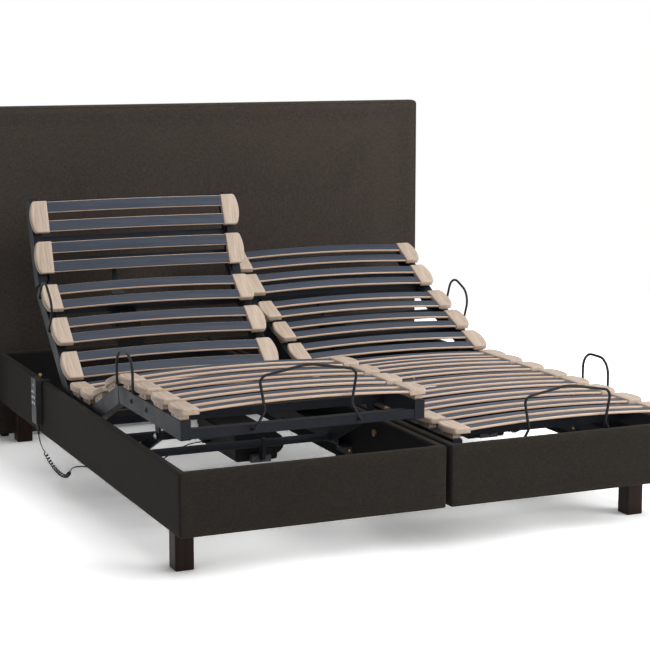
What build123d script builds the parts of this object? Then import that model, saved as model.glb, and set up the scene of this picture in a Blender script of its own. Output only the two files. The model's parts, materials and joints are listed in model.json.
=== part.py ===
# Adjustable double bed base: two upholstered boxes, each holding a motor-driven slatted base,
# and one upholstered headboard behind both.
# Millimetres, +Z up, +Y towards the head, +X to the right as seen from the foot.
# The origin is on the floor under the middle of the whole bed.
from build123d import *
import os
from dataclasses import dataclass
from math import ceil, cos, pi, radians, sin, tan

# Boxes
BOX_WIDTH = 800.0
BOX_LENGTH = 2000.0
BOX_HEIGHT = 180.0
BOX_GAP = 10.0
PANEL_THICKNESS = 26.0
PANEL_EDGE_RADIUS = 7.0
LINING_THICKNESS = 1.5
LINING_MARGIN = 8.0

# Legs
LEG_HEIGHT = 140.0
LEG_SIZE = 55.0
LEG_CHAMFER = 2.5
LEG_SIDE_INSET = 45.0
LEG_FOOT_INSET = 165.0
LEG_HEAD_INSET = 41.0
CENTRE_LEG_FOOT_INSET = 700.0
CENTRE_LEG_HEAD_INSET = 165.0
LEG_BLOCK_HEIGHT = 35.0
LEG_BLOCK_MARGIN = 12.0

# Headboard
HEADBOARD_WIDTH = 1790.0
HEADBOARD_TOP = 1205.0
HEADBOARD_THICKNESS = 80.0
HEADBOARD_CORNER_RADIUS = 16.0
HEADBOARD_EDGE_RADIUS = 9.0
GLIDE_HEIGHT = 10.0
GLIDE_RADIUS = 16.0
GLIDE_SIDE_INSET = 120.0

# Screws that hold the headboard, and bolts that join the boxes
SCREW_SHANK_RADIUS = 3.0
SCREW_HEAD_RADIUS = 7.0
SCREW_HEAD_HEIGHT = 4.0
HEADBOARD_SCREW_LENGTH = 60.0
HEADBOARD_SCREW_SIDE_INSET = 150.0
HEADBOARD_SCREW_HEIGHT = 230.0
BOLT_RADIUS = 5.0
BOLT_HEAD_RADIUS = 12.0
BOLT_HEAD_SIDES = 6
BOLT_HEAD_HEIGHT = 7.0
BOLT_HEIGHT = 275.0
BOLT_FOOT_INSET = 420.0
BOLT_HEAD_INSET = 420.0

# Slatted bases: rails and tubes.  The calf section takes up what the others leave of the box's length.
FRAME_SIDE_GAP = 35.0
FOOT_END_GAP = 56.0
HEAD_END_GAP = 73.0
RAIL_WIDTH = 30.0
RAIL_HEIGHT = 52.0
RAIL_TOP = 322.0
TUBE_SIZE = 25.0
TUBE_WALL = 2.0
TUBE_DROP = 21.0
RAIL_END_GAP = 2.0
SEAT_LENGTH = 247.0
THIGH_LENGTH = 305.0
BACK_LENGTH = 462.0
HEAD_LENGTH = 300.0
BACK_LEVER_TUBE = 80.0
BACK_TUBE_INSETS = (200.0, 82.0)
HEAD_TUBE = 85.0
THIGH_TUBE_INSET = 155.0
CALF_KNEE_TUBE = 75.0
CALF_FOOT_TUBE_INSET = 222.0
POST_SIZE = 30.0
POST_DROP = 2.0
FOOT_BAR_SIZE = 27.0

# How far each section turns from flat, in degrees, and how it stands at rest
BACK_MAX = 70.0
HEAD_MAX = 35.0
THIGH_MAX = 30.0
LEFT_REST = {"back_angle": 41.0, "head_angle": 29.0, "thigh_angle": 23.0}
RIGHT_REST = {"back_angle": 22.0, "head_angle": 8.0, "thigh_angle": 0.0}

# Hinges: two ears side by side, the outer one with a riveted pin that the inner one turns on
EAR_RADIUS = 13.0
EAR_REACH = 56.0
EAR_THICKNESS = 6.0
EAR_GAP = 0.5
EAR_EDGE = 8.0
PIN_RADIUS = 6.0
PIN_HEAD_RADIUS = 9.0
PIN_HEAD_HEIGHT = 3.0
RUNNING_CLEARANCE = 0.05

# Slats and their end caps, two slats to a cap; insets are from a section's two ends to its first and last cap
SLAT_WIDTH = 38.0
SLAT_THICKNESS = 8.0
SLAT_SPACING = 66.0
SLAT_SEAT = 20.0
SLAT_ARCH = 14.0
SLAT_FIT = 0.3
CAP_LENGTH = 110.0
CAP_WIDTH = 62.0
CAP_BULGE = 10.0
CAP_OVERHANG = 11.0
CAP_TOP = 35.0
CAP_THICKNESS = 18.0
CAP_WALL = 20.0
HOLDER_LENGTH = 76.0
HOLDER_WIDTH = 24.0
HOLDER_HOLE_SIDES = 8
HOLDER_HOLE_FIT = 0.3
HOLDER_HOLE_SPACING = 34.0
CAP_GAP = 4.0
SEAT_CAP_INSETS = (65.0, 67.0)
BACK_CAP_INSETS = (87.0, 82.0)
HEAD_CAP_INSETS = (88.0, 71.0)
THIGH_CAP_INSETS = (80.0, 75.0)
CALF_CAP_INSETS = (62.0, 45.0)

# Bent wire: the hoop at the foot end and the loops along the outer sides
WIRE_DIAMETER = 8.0
WIRE_SIDES = 8
HOOP_FOOT_HALF_WIDTH = 160.0
HOOP_BASE_HALF_WIDTH = 129.0
HOOP_TOP_HALF_WIDTH = 146.0
HOOP_REACH = 20.0
HOOP_BASE_RISE = 14.0
HOOP_SHOULDER_RISE = 108.0
HOOP_CROWN_RISE = 134.0
HOOP_BEND = 22.0
LOOP_HEIGHT = 118.0
LOOP_BEND = 52.0
LOOP_FOOT_BEND = 9.0
LOOP_FOOT_LENGTH = 24.0
LOOP_CAP_GAP = 1.0

# Base frame that stays still
LOWER_TUBE_HEIGHT = 40.0
LOWER_TUBE_TOP = 240.0
LOWER_TUBE_OVERRUN = 40.0
LOWER_TUBE_TAIL = 95.0
BASE_POST_LENGTH = 40.0
BASE_POST_INSET = 42.0
FOOT_CARRIER_REACH = 178.0
HEAD_CARRIER_INSET = 155.0
BRACKET_THICKNESS = 3.0
BRACKET_LENGTH = 120.0
BRACKET_DROP = 36.0
FOOT_BRACKET_REACH = 278.0
HEAD_BRACKET_REACH = 45.0

# Leg lift: arms parallel to the thigh that keep the calf level
LINK_PIN_REACH = 269.0
LINK_PIN_DROP = 101.0
LINK_PIN_RADIUS = 6.0
LINK_PIN_CLEARANCE = 0.3
LINK_PIN_HEAD_RADIUS = 10.0
LINK_PIN_HEAD_HEIGHT = 5.0
LINK_ARM_THICKNESS = 8.0
LINK_ARM_GAP = 1.5
LINK_ARM_ROOT_RADIUS = 19.0
LINK_ARM_TIP_RADIUS = 13.0
LIFT_TUBE_RADIUS = 12.5
LIFT_LEVER_LENGTH = 48.0
LIFT_LEVER_NOSE = 10.0
LIFT_LEVER_ROOT = 16.0
LEVER_THICKNESS = 12.0
CALF_BRACKET_LENGTH = 48.0
CALF_BRACKET_THICKNESS = 6.0

# Drives: a double one under the seat for back and legs, a small one under each back for the head
DRIVE_X = 100.0
DRIVE_WIDTH = 140.0
DRIVE_HEIGHT = 88.0
DRIVE_FOOT_REACH = 210.0
DRIVE_HEAD_INSET = 120.0
DRIVE_EDGE_RADIUS = 8.0
MOTOR_RADIUS = 33.0
MOTOR_LENGTH = 125.0
MOTOR_SIDE_RISE = 22.0
BACK_LEVER_LENGTH = 130.0
BACK_LEVER_NOSE = 12.0
BACK_SLIDE_GAP = 2.3
LEG_SLIDE_GAP = 1.2
LEG_SLIDE_LIP = 3.0
SLIDE_WIDTH = 64.0
BACK_SLIDE_THICKNESS = 24.0
LEG_SLIDE_THICKNESS = 20.0
SLIDE_MARGIN = 10.0
TONGUE_WIDTH = 40.0
TONGUE_HEIGHT = 16.0
TONGUE_HOLD = 30.0
TONGUE_FIT = 0.3
POCKET_END = 3.0
HEAD_DRIVE_X = -80.0
HEAD_DRIVE_WIDTH = 92.0
HEAD_DRIVE_HEIGHT = 46.0
HEAD_DRIVE_LENGTH = 151.0
HEAD_DRIVE_INSET = 66.0
HEAD_LEVER_LENGTH = 62.0
HEAD_LEVER_NOSE = 9.0
HEAD_SLIDE_GAP = 0.6
HEAD_SLIDE_THICKNESS = 18.0
HEAD_SLIDE_WIDTH = 44.0
HEAD_TONGUE_WIDTH = 26.0
HEAD_TONGUE_HEIGHT = 12.0

# Handset hooked on the outer side of each box; places along the bed run from the thigh hinge
HANDSET_Y = 480.0
HANDSET_WIDTH = 56.0
HANDSET_LENGTH = 154.0
HANDSET_THICKNESS = 20.0
HANDSET_BOTTOM = 178.0
HANDSET_STANDOFF = 3.0
HANDSET_EDGE_RADIUS = 6.0
HOOK_WIDTH = 30.0
HOOK_THICKNESS = 2.5
HOOK_DROP = 22.0
HOOK_FIT = 0.3
ROCKER_COUNT = 3
ROCKER_LENGTH = 40.0
ROCKER_WIDTH = 13.0
ROCKER_PITCH = 19.0
ROCKER_FIRST_DROP = 46.0
ROCKER_PROUD = 1.6
ROCKER_DEPTH = 4.0
ROCKER_FIT = 0.6
ROCKER_TILT = 4.0
ROCKER_END_GAP = 0.5

# Leads: route points as (distance out from the box side, along the bed from the thigh hinge, height)
LEAD_DIAMETER = 4.0
LEAD_SIDES = 6
GLAND_RADIUS = 5.0
CURL_RADIUS = 5.0
CURL_LEAD_IN = 12.0
OPEN_CURLS = 12
CLOSED_CURLS = 7
CLOSED_CURL_PITCH = 7.0
LEAD_TOP_ROUTE = [(12, 470, 166), (12, 470, 144), (12, 457, 121), (12, 430, 106.5), (12, 404, 99)]
CURL_ROUTE = [(12, 404, 99), (12, 352, 84), (12, 292, 70), (12, 228, 65), (12, 168, 67), (12, 122, 78), (12, 90, 101)]
LEAD_TAIL_ROUTES = {
    "left": [(12, 90, 101), (12, 68.4, 116.525), (0, 51, 124), (-24, 39, 124), (-60, 33, 115), (-108, 30, 102),
             (-162, 28, 97), (-216, 26, 104), (-268, 24, 124), (-316, 23, 149), (-364, 22, 172), (-406, 22, 172)],
    "right": [(12, 90, 101), (12, 68.4, 116.525), (0, 51, 124), (-24, 39, 124), (-58, 27, 116), (-92, 8, 121),
              (-122, -14, 136), (-150, -32, 153), (-176, -42, 164), (-206, -42, 164)],
}

# Places worked out from the sizes above
FOOT_Y = -(BOX_LENGTH + HEADBOARD_THICKNESS) / 2
BOX_TOP = LEG_HEIGHT + BOX_HEIGHT
CALF_LENGTH = BOX_LENGTH - FOOT_END_GAP - THIGH_LENGTH - SEAT_LENGTH - BACK_LENGTH - HEAD_LENGTH - HEAD_END_GAP
THIGH_HINGE_Y = FOOT_END_GAP + CALF_LENGTH + THIGH_LENGTH
BACK_HINGE_Y = THIGH_HINGE_Y + SEAT_LENGTH
INNER_HALF_WIDTH = BOX_WIDTH / 2 - PANEL_THICKNESS - LINING_THICKNESS
RAIL_OUTER = BOX_WIDTH / 2 - FRAME_SIDE_GAP
RAIL_INNER = RAIL_OUTER - RAIL_WIDTH
TUBE_BOTTOM = -TUBE_DROP - TUBE_SIZE
OUTER_EAR = (RAIL_INNER - EAR_GAP - EAR_THICKNESS, RAIL_INNER - EAR_GAP)
INNER_EAR = (OUTER_EAR[0] - EAR_GAP - EAR_THICKNESS, OUTER_EAR[0] - EAR_GAP)
LINK_PIVOT_Y = THIGH_HINGE_Y - LINK_PIN_REACH
LINK_PIVOT_Z = RAIL_TOP - LINK_PIN_DROP
CALF_BRACKET = (RAIL_INNER - CALF_BRACKET_THICKNESS, RAIL_INNER)
LINK_ARM = (CALF_BRACKET[0] - LINK_ARM_GAP - LINK_ARM_THICKNESS, CALF_BRACKET[0] - LINK_ARM_GAP)
CARRIER_PLACES = (THIGH_HINGE_Y - FOOT_CARRIER_REACH, BACK_HINGE_Y - HEAD_CARRIER_INSET)
BRACKET_PLACES = (THIGH_HINGE_Y - FOOT_BRACKET_REACH, BACK_HINGE_Y + HEAD_BRACKET_REACH)
BACK_TUBES = (BACK_LEVER_TUBE, *(BACK_LENGTH - inset for inset in BACK_TUBE_INSETS))
THIGH_TUBE = THIGH_LENGTH - THIGH_TUBE_INSET
CALF_TUBES = (CALF_KNEE_TUBE, CALF_LENGTH - CALF_FOOT_TUBE_INSET)
DRIVE_TOP = LOWER_TUBE_TOP
DRIVE_FOOT_END = THIGH_HINGE_Y - DRIVE_FOOT_REACH
DRIVE_HEAD_END = BACK_HINGE_Y - DRIVE_HEAD_INSET
HEAD_DRIVE_END = BACK_LENGTH - HEAD_DRIVE_INSET
HEAD_DRIVE_START = HEAD_DRIVE_END - HEAD_DRIVE_LENGTH
KNEE_MITRE = THIGH_MAX / 2
CAP_OUTER = RAIL_OUTER + CAP_OVERHANG
SLAT_HALF_LENGTH = CAP_OUTER - CAP_WALL


@dataclass(frozen=True)
class Half:
    """One side of the bed: its name, which side it is on, and its sections' angles at rest."""
    name: str
    side: int
    back_angle: float
    head_angle: float
    thigh_angle: float

    @property
    def x(self):
        return self.side * (BOX_WIDTH + BOX_GAP) / 2

    @property
    def outer_face(self):
        return self.side * (BOX_WIDTH + BOX_GAP / 2)


HALVES = (Half("left", -1, **LEFT_REST), Half("right", 1, **RIGHT_REST))


# Shape helpers

def block(x_span, y_span, z_span):
    """A box between three pairs of low and high planes."""
    (x0, x1), (y0, y1), (z0, z1) = (sorted(span) for span in (x_span, y_span, z_span))
    return Pos((x0 + x1) / 2, (y0 + y1) / 2, (z0 + z1) / 2) * Box(x1 - x0, y1 - y0, z1 - z0)


def tube(x_span, y_span, z_span, axis):
    """A rectangular tube open at both ends along one axis (0, 1 or 2)."""
    spans = [x_span, y_span, z_span]
    bore = [span if i == axis else (span[0] + TUBE_WALL, span[1] - TUBE_WALL) for i, span in enumerate(spans)]
    return block(*spans) - block(*bore)


def cylinder_x(x_span, y, z, radius):
    """A cylinder along X."""
    return Pos(x_span[0], y, z) * Rot(0, 90, 0) * Cylinder(
        radius, x_span[1] - x_span[0], align=(Align.CENTER, Align.CENTER, Align.MIN))


def cylinder_y(x, y_span, z, radius):
    """A cylinder along Y."""
    return Pos(x, y_span[0], z) * Rot(-90, 0, 0) * Cylinder(
        radius, y_span[1] - y_span[0], align=(Align.CENTER, Align.CENTER, Align.MIN))


def side_plate(x_span, circles, corners=()):
    """A plate between two X planes whose outline wraps circles (y, z, radius) and corner points."""
    edges = [edge for y, z, radius in circles for edge in (Pos(y, z) * Circle(radius)).edges()]
    if corners:
        edges += Polyline(*corners, close=True).edges()
    return Pos(X=x_span[0]) * extrude(Plane.YZ * make_hull(edges), amount=x_span[1] - x_span[0])


def both_sides(shape):
    """A shape on the +X side and its mirror image."""
    return [shape, mirror(shape, about=Plane.YZ)]


def moved(place, pieces):
    """Pieces drawn about the origin, put at their place."""
    return [place * piece for piece in pieces]


def sweep_rod(path, diameter, sides):
    """A rod along a path, its section a polygon with the area of a circle of that diameter."""
    radius = diameter / 2 * (2 * pi / sides / sin(2 * pi / sides)) ** 0.5
    return sweep(Plane(path @ 0, z_dir=path % 0) * RegularPolygon(radius, sides), path=path, clean=False)


def route_radii(points):
    """The largest even arc for each corner of a route: 0.45 of the shorter run over tan of half the turn."""
    radii = []
    for before, corner, after in zip(points, points[1:], points[2:]):
        run_in, run_out = Vector(corner) - Vector(before), Vector(after) - Vector(corner)
        turn = radians(run_in.get_angle(run_out))
        radii.append(0.45 * min(run_in.length, run_out.length) / tan(turn / 2))
    return radii


# Where each section hangs

def at_seat(half):
    return Pos(half.x, FOOT_Y + THIGH_HINGE_Y, RAIL_TOP)


def at_back(half):
    return Pos(half.x, FOOT_Y + BACK_HINGE_Y, RAIL_TOP) * Rot(half.back_angle, 0, 0)


def at_head(half):
    return at_back(half) * Pos(0, BACK_LENGTH, 0) * Rot(half.head_angle, 0, 0)


def at_thigh(half):
    return at_seat(half) * Rot(-half.thigh_angle, 0, 0)


def at_calf(half):
    return at_thigh(half) * Pos(0, -THIGH_LENGTH, 0) * Rot(half.thigh_angle, 0, 0)


def at_lift(half):
    return Pos(half.x, FOOT_Y + LINK_PIVOT_Y, LINK_PIVOT_Z) * Rot(-half.thigh_angle, 0, 0)


def at_base(half):
    return Pos(half.x, FOOT_Y, 0)


# Boxes, legs and headboard

def box_panels():
    """Foot, head and side panels of one box, with the edges rounded as the cloth wraps them."""
    outer, inner = BOX_WIDTH / 2, BOX_WIDTH / 2 - PANEL_THICKNESS
    height = (LEG_HEIGHT, BOX_TOP)
    end = block((-outer, outer), (0, PANEL_THICKNESS), height)
    inner_face = end.faces().sort_by(Axis.Y)[-1]
    end = fillet([edge for edge in end.edges() if edge not in inner_face.edges()], PANEL_EDGE_RADIUS)
    side = block((inner, outer), (PANEL_THICKNESS, BOX_LENGTH - PANEL_THICKNESS), height)
    outer_edges = side.faces().sort_by(Axis.X)[-1].edges().filter_by(Axis.Y)
    side = fillet(outer_edges, PANEL_EDGE_RADIUS)
    head = Pos(0, BOX_LENGTH, 0) * Rot(0, 0, 180) * end
    return [end, head] + both_sides(side)


def box_lining():
    """Black sheets on the inside of the four panels."""
    inner = BOX_WIDTH / 2 - PANEL_THICKNESS
    height = (LEG_HEIGHT + LINING_MARGIN, BOX_TOP - LINING_MARGIN)
    ends = [block((-inner, inner), (y, y + LINING_THICKNESS), height)
            for y in (PANEL_THICKNESS, BOX_LENGTH - PANEL_THICKNESS - LINING_THICKNESS)]
    reach = (PANEL_THICKNESS + LINING_THICKNESS, BOX_LENGTH - PANEL_THICKNESS - LINING_THICKNESS)
    return ends + both_sides(block((INNER_HALF_WIDTH, inner), reach, height))


def joining_bolts():
    """Bolts through the two inner side panels, with a six-sided head or nut at each end."""
    reach = BOX_GAP / 2 + PANEL_THICKNESS + LINING_THICKNESS
    head = extrude(Plane.YZ * RegularPolygon(BOLT_HEAD_RADIUS, BOLT_HEAD_SIDES), amount=BOLT_HEAD_HEIGHT)
    bolt = cylinder_x((-reach, reach), 0, 0, BOLT_RADIUS) + both_sides(Pos(X=reach) * head)
    places = (BOLT_FOOT_INSET, BOX_LENGTH - BOLT_HEAD_INSET)
    return [Pos(0, FOOT_Y + y, BOLT_HEIGHT) * bolt for y in places]


def leg_centres(half):
    """Centres of the two legs at a box's outer side, as distances from its foot face."""
    x = half.outer_face - half.side * (LEG_SIDE_INSET + LEG_SIZE / 2)
    return [(x, LEG_FOOT_INSET + LEG_SIZE / 2), (x, BOX_LENGTH - LEG_HEAD_INSET - LEG_SIZE / 2)]


def legs():
    """Four outer legs, and two in the middle that carry both boxes."""
    leg = Pos(Z=LEG_HEIGHT / 2) * Box(LEG_SIZE, LEG_SIZE, LEG_HEIGHT)
    leg = chamfer(leg.edges().filter_by(Axis.Z) + leg.faces().sort_by(Axis.Z)[0].edges(), LEG_CHAMFER)
    middle = [(0, CENTRE_LEG_FOOT_INSET), (0, BOX_LENGTH - CENTRE_LEG_HEAD_INSET)]
    places = leg_centres(HALVES[0]) + leg_centres(HALVES[1]) + middle
    return [Pos(x, FOOT_Y + y, 0) * leg for x, y in places]


def leg_blocks():
    """Wooden blocks inside the boxes that the outer legs are screwed to."""
    blocks = []
    for half in HALVES:
        wall = half.x + half.side * INNER_HALF_WIDTH
        for x, y in leg_centres(half):
            inner_end = x - half.side * (LEG_SIZE / 2 + LEG_BLOCK_MARGIN)
            low = max(y - LEG_SIZE / 2 - LEG_BLOCK_MARGIN, PANEL_THICKNESS + LINING_THICKNESS)
            high = min(y + LEG_SIZE / 2 + LEG_BLOCK_MARGIN, BOX_LENGTH - PANEL_THICKNESS - LINING_THICKNESS)
            blocks.append(block((wall, inner_end), (FOOT_Y + low, FOOT_Y + high),
                                (LEG_HEIGHT, LEG_HEIGHT + LEG_BLOCK_HEIGHT)))
    return blocks


def headboard():
    """Upholstered panel with rounded upper corners and softened edges."""
    y = FOOT_Y + BOX_LENGTH
    panel = block((-HEADBOARD_WIDTH / 2, HEADBOARD_WIDTH / 2), (y, y + HEADBOARD_THICKNESS),
                  (GLIDE_HEIGHT, HEADBOARD_TOP))
    upper_corners = panel.edges().filter_by(Axis.Y).group_by(Axis.Z)[-1]
    panel = fillet(upper_corners, HEADBOARD_CORNER_RADIUS)
    faces = panel.faces().filter_by(Plane.XZ)
    return [fillet(faces.edges(), HEADBOARD_EDGE_RADIUS)]


def headboard_glides():
    """Round glides that the headboard stands on."""
    glide = Cylinder(GLIDE_RADIUS, GLIDE_HEIGHT, align=(Align.CENTER, Align.CENTER, Align.MIN))
    x = HEADBOARD_WIDTH / 2 - GLIDE_SIDE_INSET
    y = FOOT_Y + BOX_LENGTH + HEADBOARD_THICKNESS / 2
    return [Pos(place, y, 0) * glide for place in (-x, x)]


def headboard_screws():
    """Screws from inside each box through its head panel into the headboard."""
    screw = extrude(Plane.XZ * RegularPolygon(SCREW_HEAD_RADIUS, BOLT_HEAD_SIDES), amount=SCREW_HEAD_HEIGHT)
    screw += cylinder_y(0, (0, HEADBOARD_SCREW_LENGTH), 0, SCREW_SHANK_RADIUS)
    seat = FOOT_Y + BOX_LENGTH - PANEL_THICKNESS - LINING_THICKNESS
    reach = BOX_WIDTH / 2 - HEADBOARD_SCREW_SIDE_INSET
    return [Pos(half.x + x, seat, HEADBOARD_SCREW_HEIGHT) * screw for half in HALVES for x in (-reach, reach)]


# Hinges

def ear_plate(span, direction):
    """A plate at a hinge axis on the +X side, with a pad that sits on its rail's inner face."""
    root, tail = direction * (EAR_RADIUS + RAIL_END_GAP), direction * EAR_REACH
    top, bottom = -EAR_EDGE, EAR_EDGE - RAIL_HEIGHT
    plate = side_plate(span, [(0, 0, EAR_RADIUS)], [(root, top), (tail, top), (tail, bottom), (root, bottom / 2)])
    return plate + block((span[1], RAIL_INNER), (root, tail), (bottom / 2, top))


def pivot_ears(direction):
    """Ears with a hole, for the section that turns on another's pins."""
    hole = cylinder_x(INNER_EAR, 0, 0, PIN_RADIUS + RUNNING_CLEARANCE)
    return both_sides(ear_plate(INNER_EAR, direction) - hole)


def pin_ears(direction):
    """Ears with a riveted pin that reaches through the other section's ears to its head."""
    face = INNER_EAR[0] - EAR_GAP
    pin = cylinder_x((face, OUTER_EAR[0]), 0, 0, PIN_RADIUS)
    head = cylinder_x((face - PIN_HEAD_HEIGHT, face), 0, 0, PIN_HEAD_RADIUS)
    return both_sides(ear_plate(OUTER_EAR, direction) + pin + head)


# Rails, slats and caps, drawn from each section's hinge: Y along the section, Z up from the rail's top

def rails(y_span):
    """Two side rails between two places along a section."""
    low, high = sorted(y_span)
    return both_sides(tube((RAIL_INNER, RAIL_OUTER), (low, high), (-RAIL_HEIGHT, 0), 1))


def cross_tube(y):
    """A tube between the rails, centred on a place along the section."""
    return tube((-RAIL_INNER, RAIL_INNER), (y - TUBE_SIZE / 2, y + TUBE_SIZE / 2), (TUBE_BOTTOM, -TUBE_DROP), 0)


def mitred(rail_pair, knee_y, direction):
    """Rails cut at the knee so that they close only when the leg section is fully raised."""
    lean = radians(KNEE_MITRE)
    cut = Plane(origin=(0, knee_y + direction * RAIL_END_GAP / 2, 0), z_dir=(0, direction * cos(lean), sin(lean)))
    return [split(rail, bisect_by=cut, keep=Keep.TOP) for rail in rail_pair]


def slat():
    """An arched slat across the bed, its ends seated in the caps."""
    low, crown = SLAT_SEAT, SLAT_SEAT + SLAT_ARCH
    half = SLAT_HALF_LENGTH
    lower = ThreePointArc((-half, low), (0, crown), (half, low))
    upper = ThreePointArc((half, low + SLAT_THICKNESS), (0, crown + SLAT_THICKNESS), (-half, low + SLAT_THICKNESS))
    outline = make_face([lower, Line(lower @ 1, upper @ 0), upper, Line(upper @ 1, lower @ 0)])
    return extrude(Plane.XZ * outline, amount=SLAT_WIDTH / 2, both=True)


def slat_rise(x):
    """How much higher a slat's underside is at x than at its end."""
    return SLAT_ARCH * (1 - (x / SLAT_HALF_LENGTH) ** 2)


def slat_cap():
    """A moulded cap on the +X side with two slat pockets and a holder on the rail below."""
    inner, shoulder = CAP_OUTER - CAP_WIDTH, CAP_OUTER - CAP_BULGE
    half = CAP_LENGTH / 2
    sides = Polyline((shoulder, half), (inner, half), (inner, -half), (shoulder, -half))
    end = ThreePointArc((shoulder, -half), (CAP_OUTER, 0), (shoulder, half))
    cap = Pos(Z=CAP_TOP - CAP_THICKNESS) * extrude(make_face([sides, end]), amount=CAP_THICKNESS)
    holder_x = (RAIL_OUTER - RAIL_WIDTH / 2 - HOLDER_WIDTH / 2, RAIL_OUTER - RAIL_WIDTH / 2 + HOLDER_WIDTH / 2)
    holder_top = CAP_TOP - CAP_THICKNESS
    cap += block(holder_x, (-HOLDER_LENGTH / 2, HOLDER_LENGTH / 2), (0, holder_top))
    hole = RegularPolygon(WIRE_DIAMETER / 2 + HOLDER_HOLE_FIT, HOLDER_HOLE_SIDES, major_radius=False)
    for y in (-HOLDER_HOLE_SPACING / 2, HOLDER_HOLE_SPACING / 2):
        cap -= Pos(holder_x[0], y, holder_top / 2) * extrude(Plane.YZ * hole, amount=HOLDER_WIDTH)
    pocket_x = (inner - 1, SLAT_HALF_LENGTH + SLAT_FIT)
    pocket_z = (SLAT_SEAT - SLAT_FIT, SLAT_SEAT + SLAT_THICKNESS + slat_rise(inner) + SLAT_FIT)
    for y in (-SLAT_SPACING / 2, SLAT_SPACING / 2):
        reach = SLAT_WIDTH / 2 + SLAT_FIT
        cap -= block(pocket_x, (y - reach, y + reach), pocket_z)
    return cap


def cap_places(length, insets):
    """Cap centres along a section, spread evenly between its end insets, as many as fit."""
    first, last = insets[0], length - insets[1]
    steps = int((last - first) // (CAP_LENGTH + CAP_GAP))
    return [first + step * (last - first) / steps for step in range(steps + 1)] if steps else [(first + last) / 2]


def slats_at(places):
    """Two slats for each cap place."""
    return [Pos(0, place + step, 0) * SLAT for place in places for step in (-SLAT_SPACING / 2, SLAT_SPACING / 2)]


def caps_at(places):
    """A cap on each rail for each place."""
    return [Pos(0, place, 0) * cap for place in places for cap in CAP_PAIR]


# Sections

def base_frame():
    """Seat rails, lower side tubes, posts between them and the tubes that carry the drive."""
    seat = (THIGH_HINGE_Y + RAIL_END_GAP, BACK_HINGE_Y - RAIL_END_GAP)
    pieces = [Pos(Z=RAIL_TOP) * rail for rail in rails(seat)]
    lower_y = (LINK_PIVOT_Y - LOWER_TUBE_OVERRUN, BACK_HINGE_Y + LOWER_TUBE_TAIL)
    lower = tube((RAIL_INNER, RAIL_OUTER), lower_y, (LOWER_TUBE_TOP - LOWER_TUBE_HEIGHT, LOWER_TUBE_TOP), 1)
    lower -= cylinder_x((RAIL_INNER - 1, RAIL_OUTER + 1), LINK_PIVOT_Y, LINK_PIVOT_Z,
                        LIFT_TUBE_RADIUS + RUNNING_CLEARANCE)
    pieces += both_sides(lower)
    for y in (THIGH_HINGE_Y + BASE_POST_INSET, BACK_HINGE_Y - BASE_POST_INSET):
        y_span = (y - BASE_POST_LENGTH / 2, y + BASE_POST_LENGTH / 2)
        pieces += both_sides(block((RAIL_INNER, RAIL_OUTER), y_span, (LOWER_TUBE_TOP, RAIL_TOP - RAIL_HEIGHT)))
    for y in CARRIER_PLACES:
        y_span = (y - TUBE_SIZE / 2, y + TUBE_SIZE / 2)
        pieces.append(tube((-RAIL_OUTER, RAIL_OUTER), y_span, (LOWER_TUBE_TOP, LOWER_TUBE_TOP + TUBE_SIZE), 0))
    for y, direction in ((THIGH_HINGE_Y, 1), (BACK_HINGE_Y, -1)):
        pieces += moved(Pos(0, y, RAIL_TOP), pin_ears(direction))
    return pieces


def frame_brackets():
    """Angle brackets on the side panels that the lower tubes rest on."""
    seat = LOWER_TUBE_TOP - LOWER_TUBE_HEIGHT
    brackets = []
    for y in BRACKET_PLACES:
        span = (y - BRACKET_LENGTH / 2, y + BRACKET_LENGTH / 2)
        shelf = block((RAIL_INNER, INNER_HALF_WIDTH), span, (seat - BRACKET_THICKNESS, seat))
        flange = block((INNER_HALF_WIDTH - BRACKET_THICKNESS, INNER_HALF_WIDTH), span, (seat - BRACKET_DROP, seat))
        brackets += both_sides(shelf + flange)
    return brackets


def lever(x, tube_y, angle, length, nose):
    """A lever plate welded under a cross tube, its nose on a circle about the hinge axis."""
    tip_y, tip_z = length * sin(radians(angle)), -length * cos(radians(angle))
    foot = [(tube_y - TUBE_SIZE / 2, TUBE_BOTTOM), (tube_y + TUBE_SIZE / 2, TUBE_BOTTOM),
            (tube_y, TUBE_BOTTOM - TUBE_SIZE / 2)]
    return side_plate((x - LEVER_THICKNESS / 2, x + LEVER_THICKNESS / 2), [(tip_y, tip_z, nose)], foot)


def back_frame():
    """Back rails, cross tubes, ears at both hinges and the drive's lever."""
    pieces = rails((RAIL_END_GAP, BACK_LENGTH - RAIL_END_GAP)) + [cross_tube(y) for y in BACK_TUBES]
    pieces += pivot_ears(1) + moved(Pos(0, BACK_LENGTH, 0), pin_ears(-1))
    return pieces + [lever(DRIVE_X, BACK_TUBES[0], -BACK_MAX / 2, BACK_LEVER_LENGTH, BACK_LEVER_NOSE)]


def head_frame():
    """Head rails joined by a tube at the end, with ears and the head drive's lever."""
    end = HEAD_LENGTH - TUBE_SIZE / 2
    pieces = rails((RAIL_END_GAP, HEAD_LENGTH)) + [cross_tube(HEAD_TUBE), cross_tube(end)]
    pieces += pivot_ears(1)
    return pieces + [lever(HEAD_DRIVE_X, HEAD_TUBE, -HEAD_MAX / 2, HEAD_LEVER_LENGTH, HEAD_LEVER_NOSE)]


def thigh_frame():
    """Thigh rails mitred at the knee, a cross tube and ears at both ends."""
    pieces = mitred(rails((-RAIL_END_GAP, -THIGH_LENGTH)), -THIGH_LENGTH, 1) + [cross_tube(-THIGH_TUBE)]
    return pieces + pivot_ears(-1) + moved(Pos(0, -THIGH_LENGTH, 0), pin_ears(1))


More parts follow.
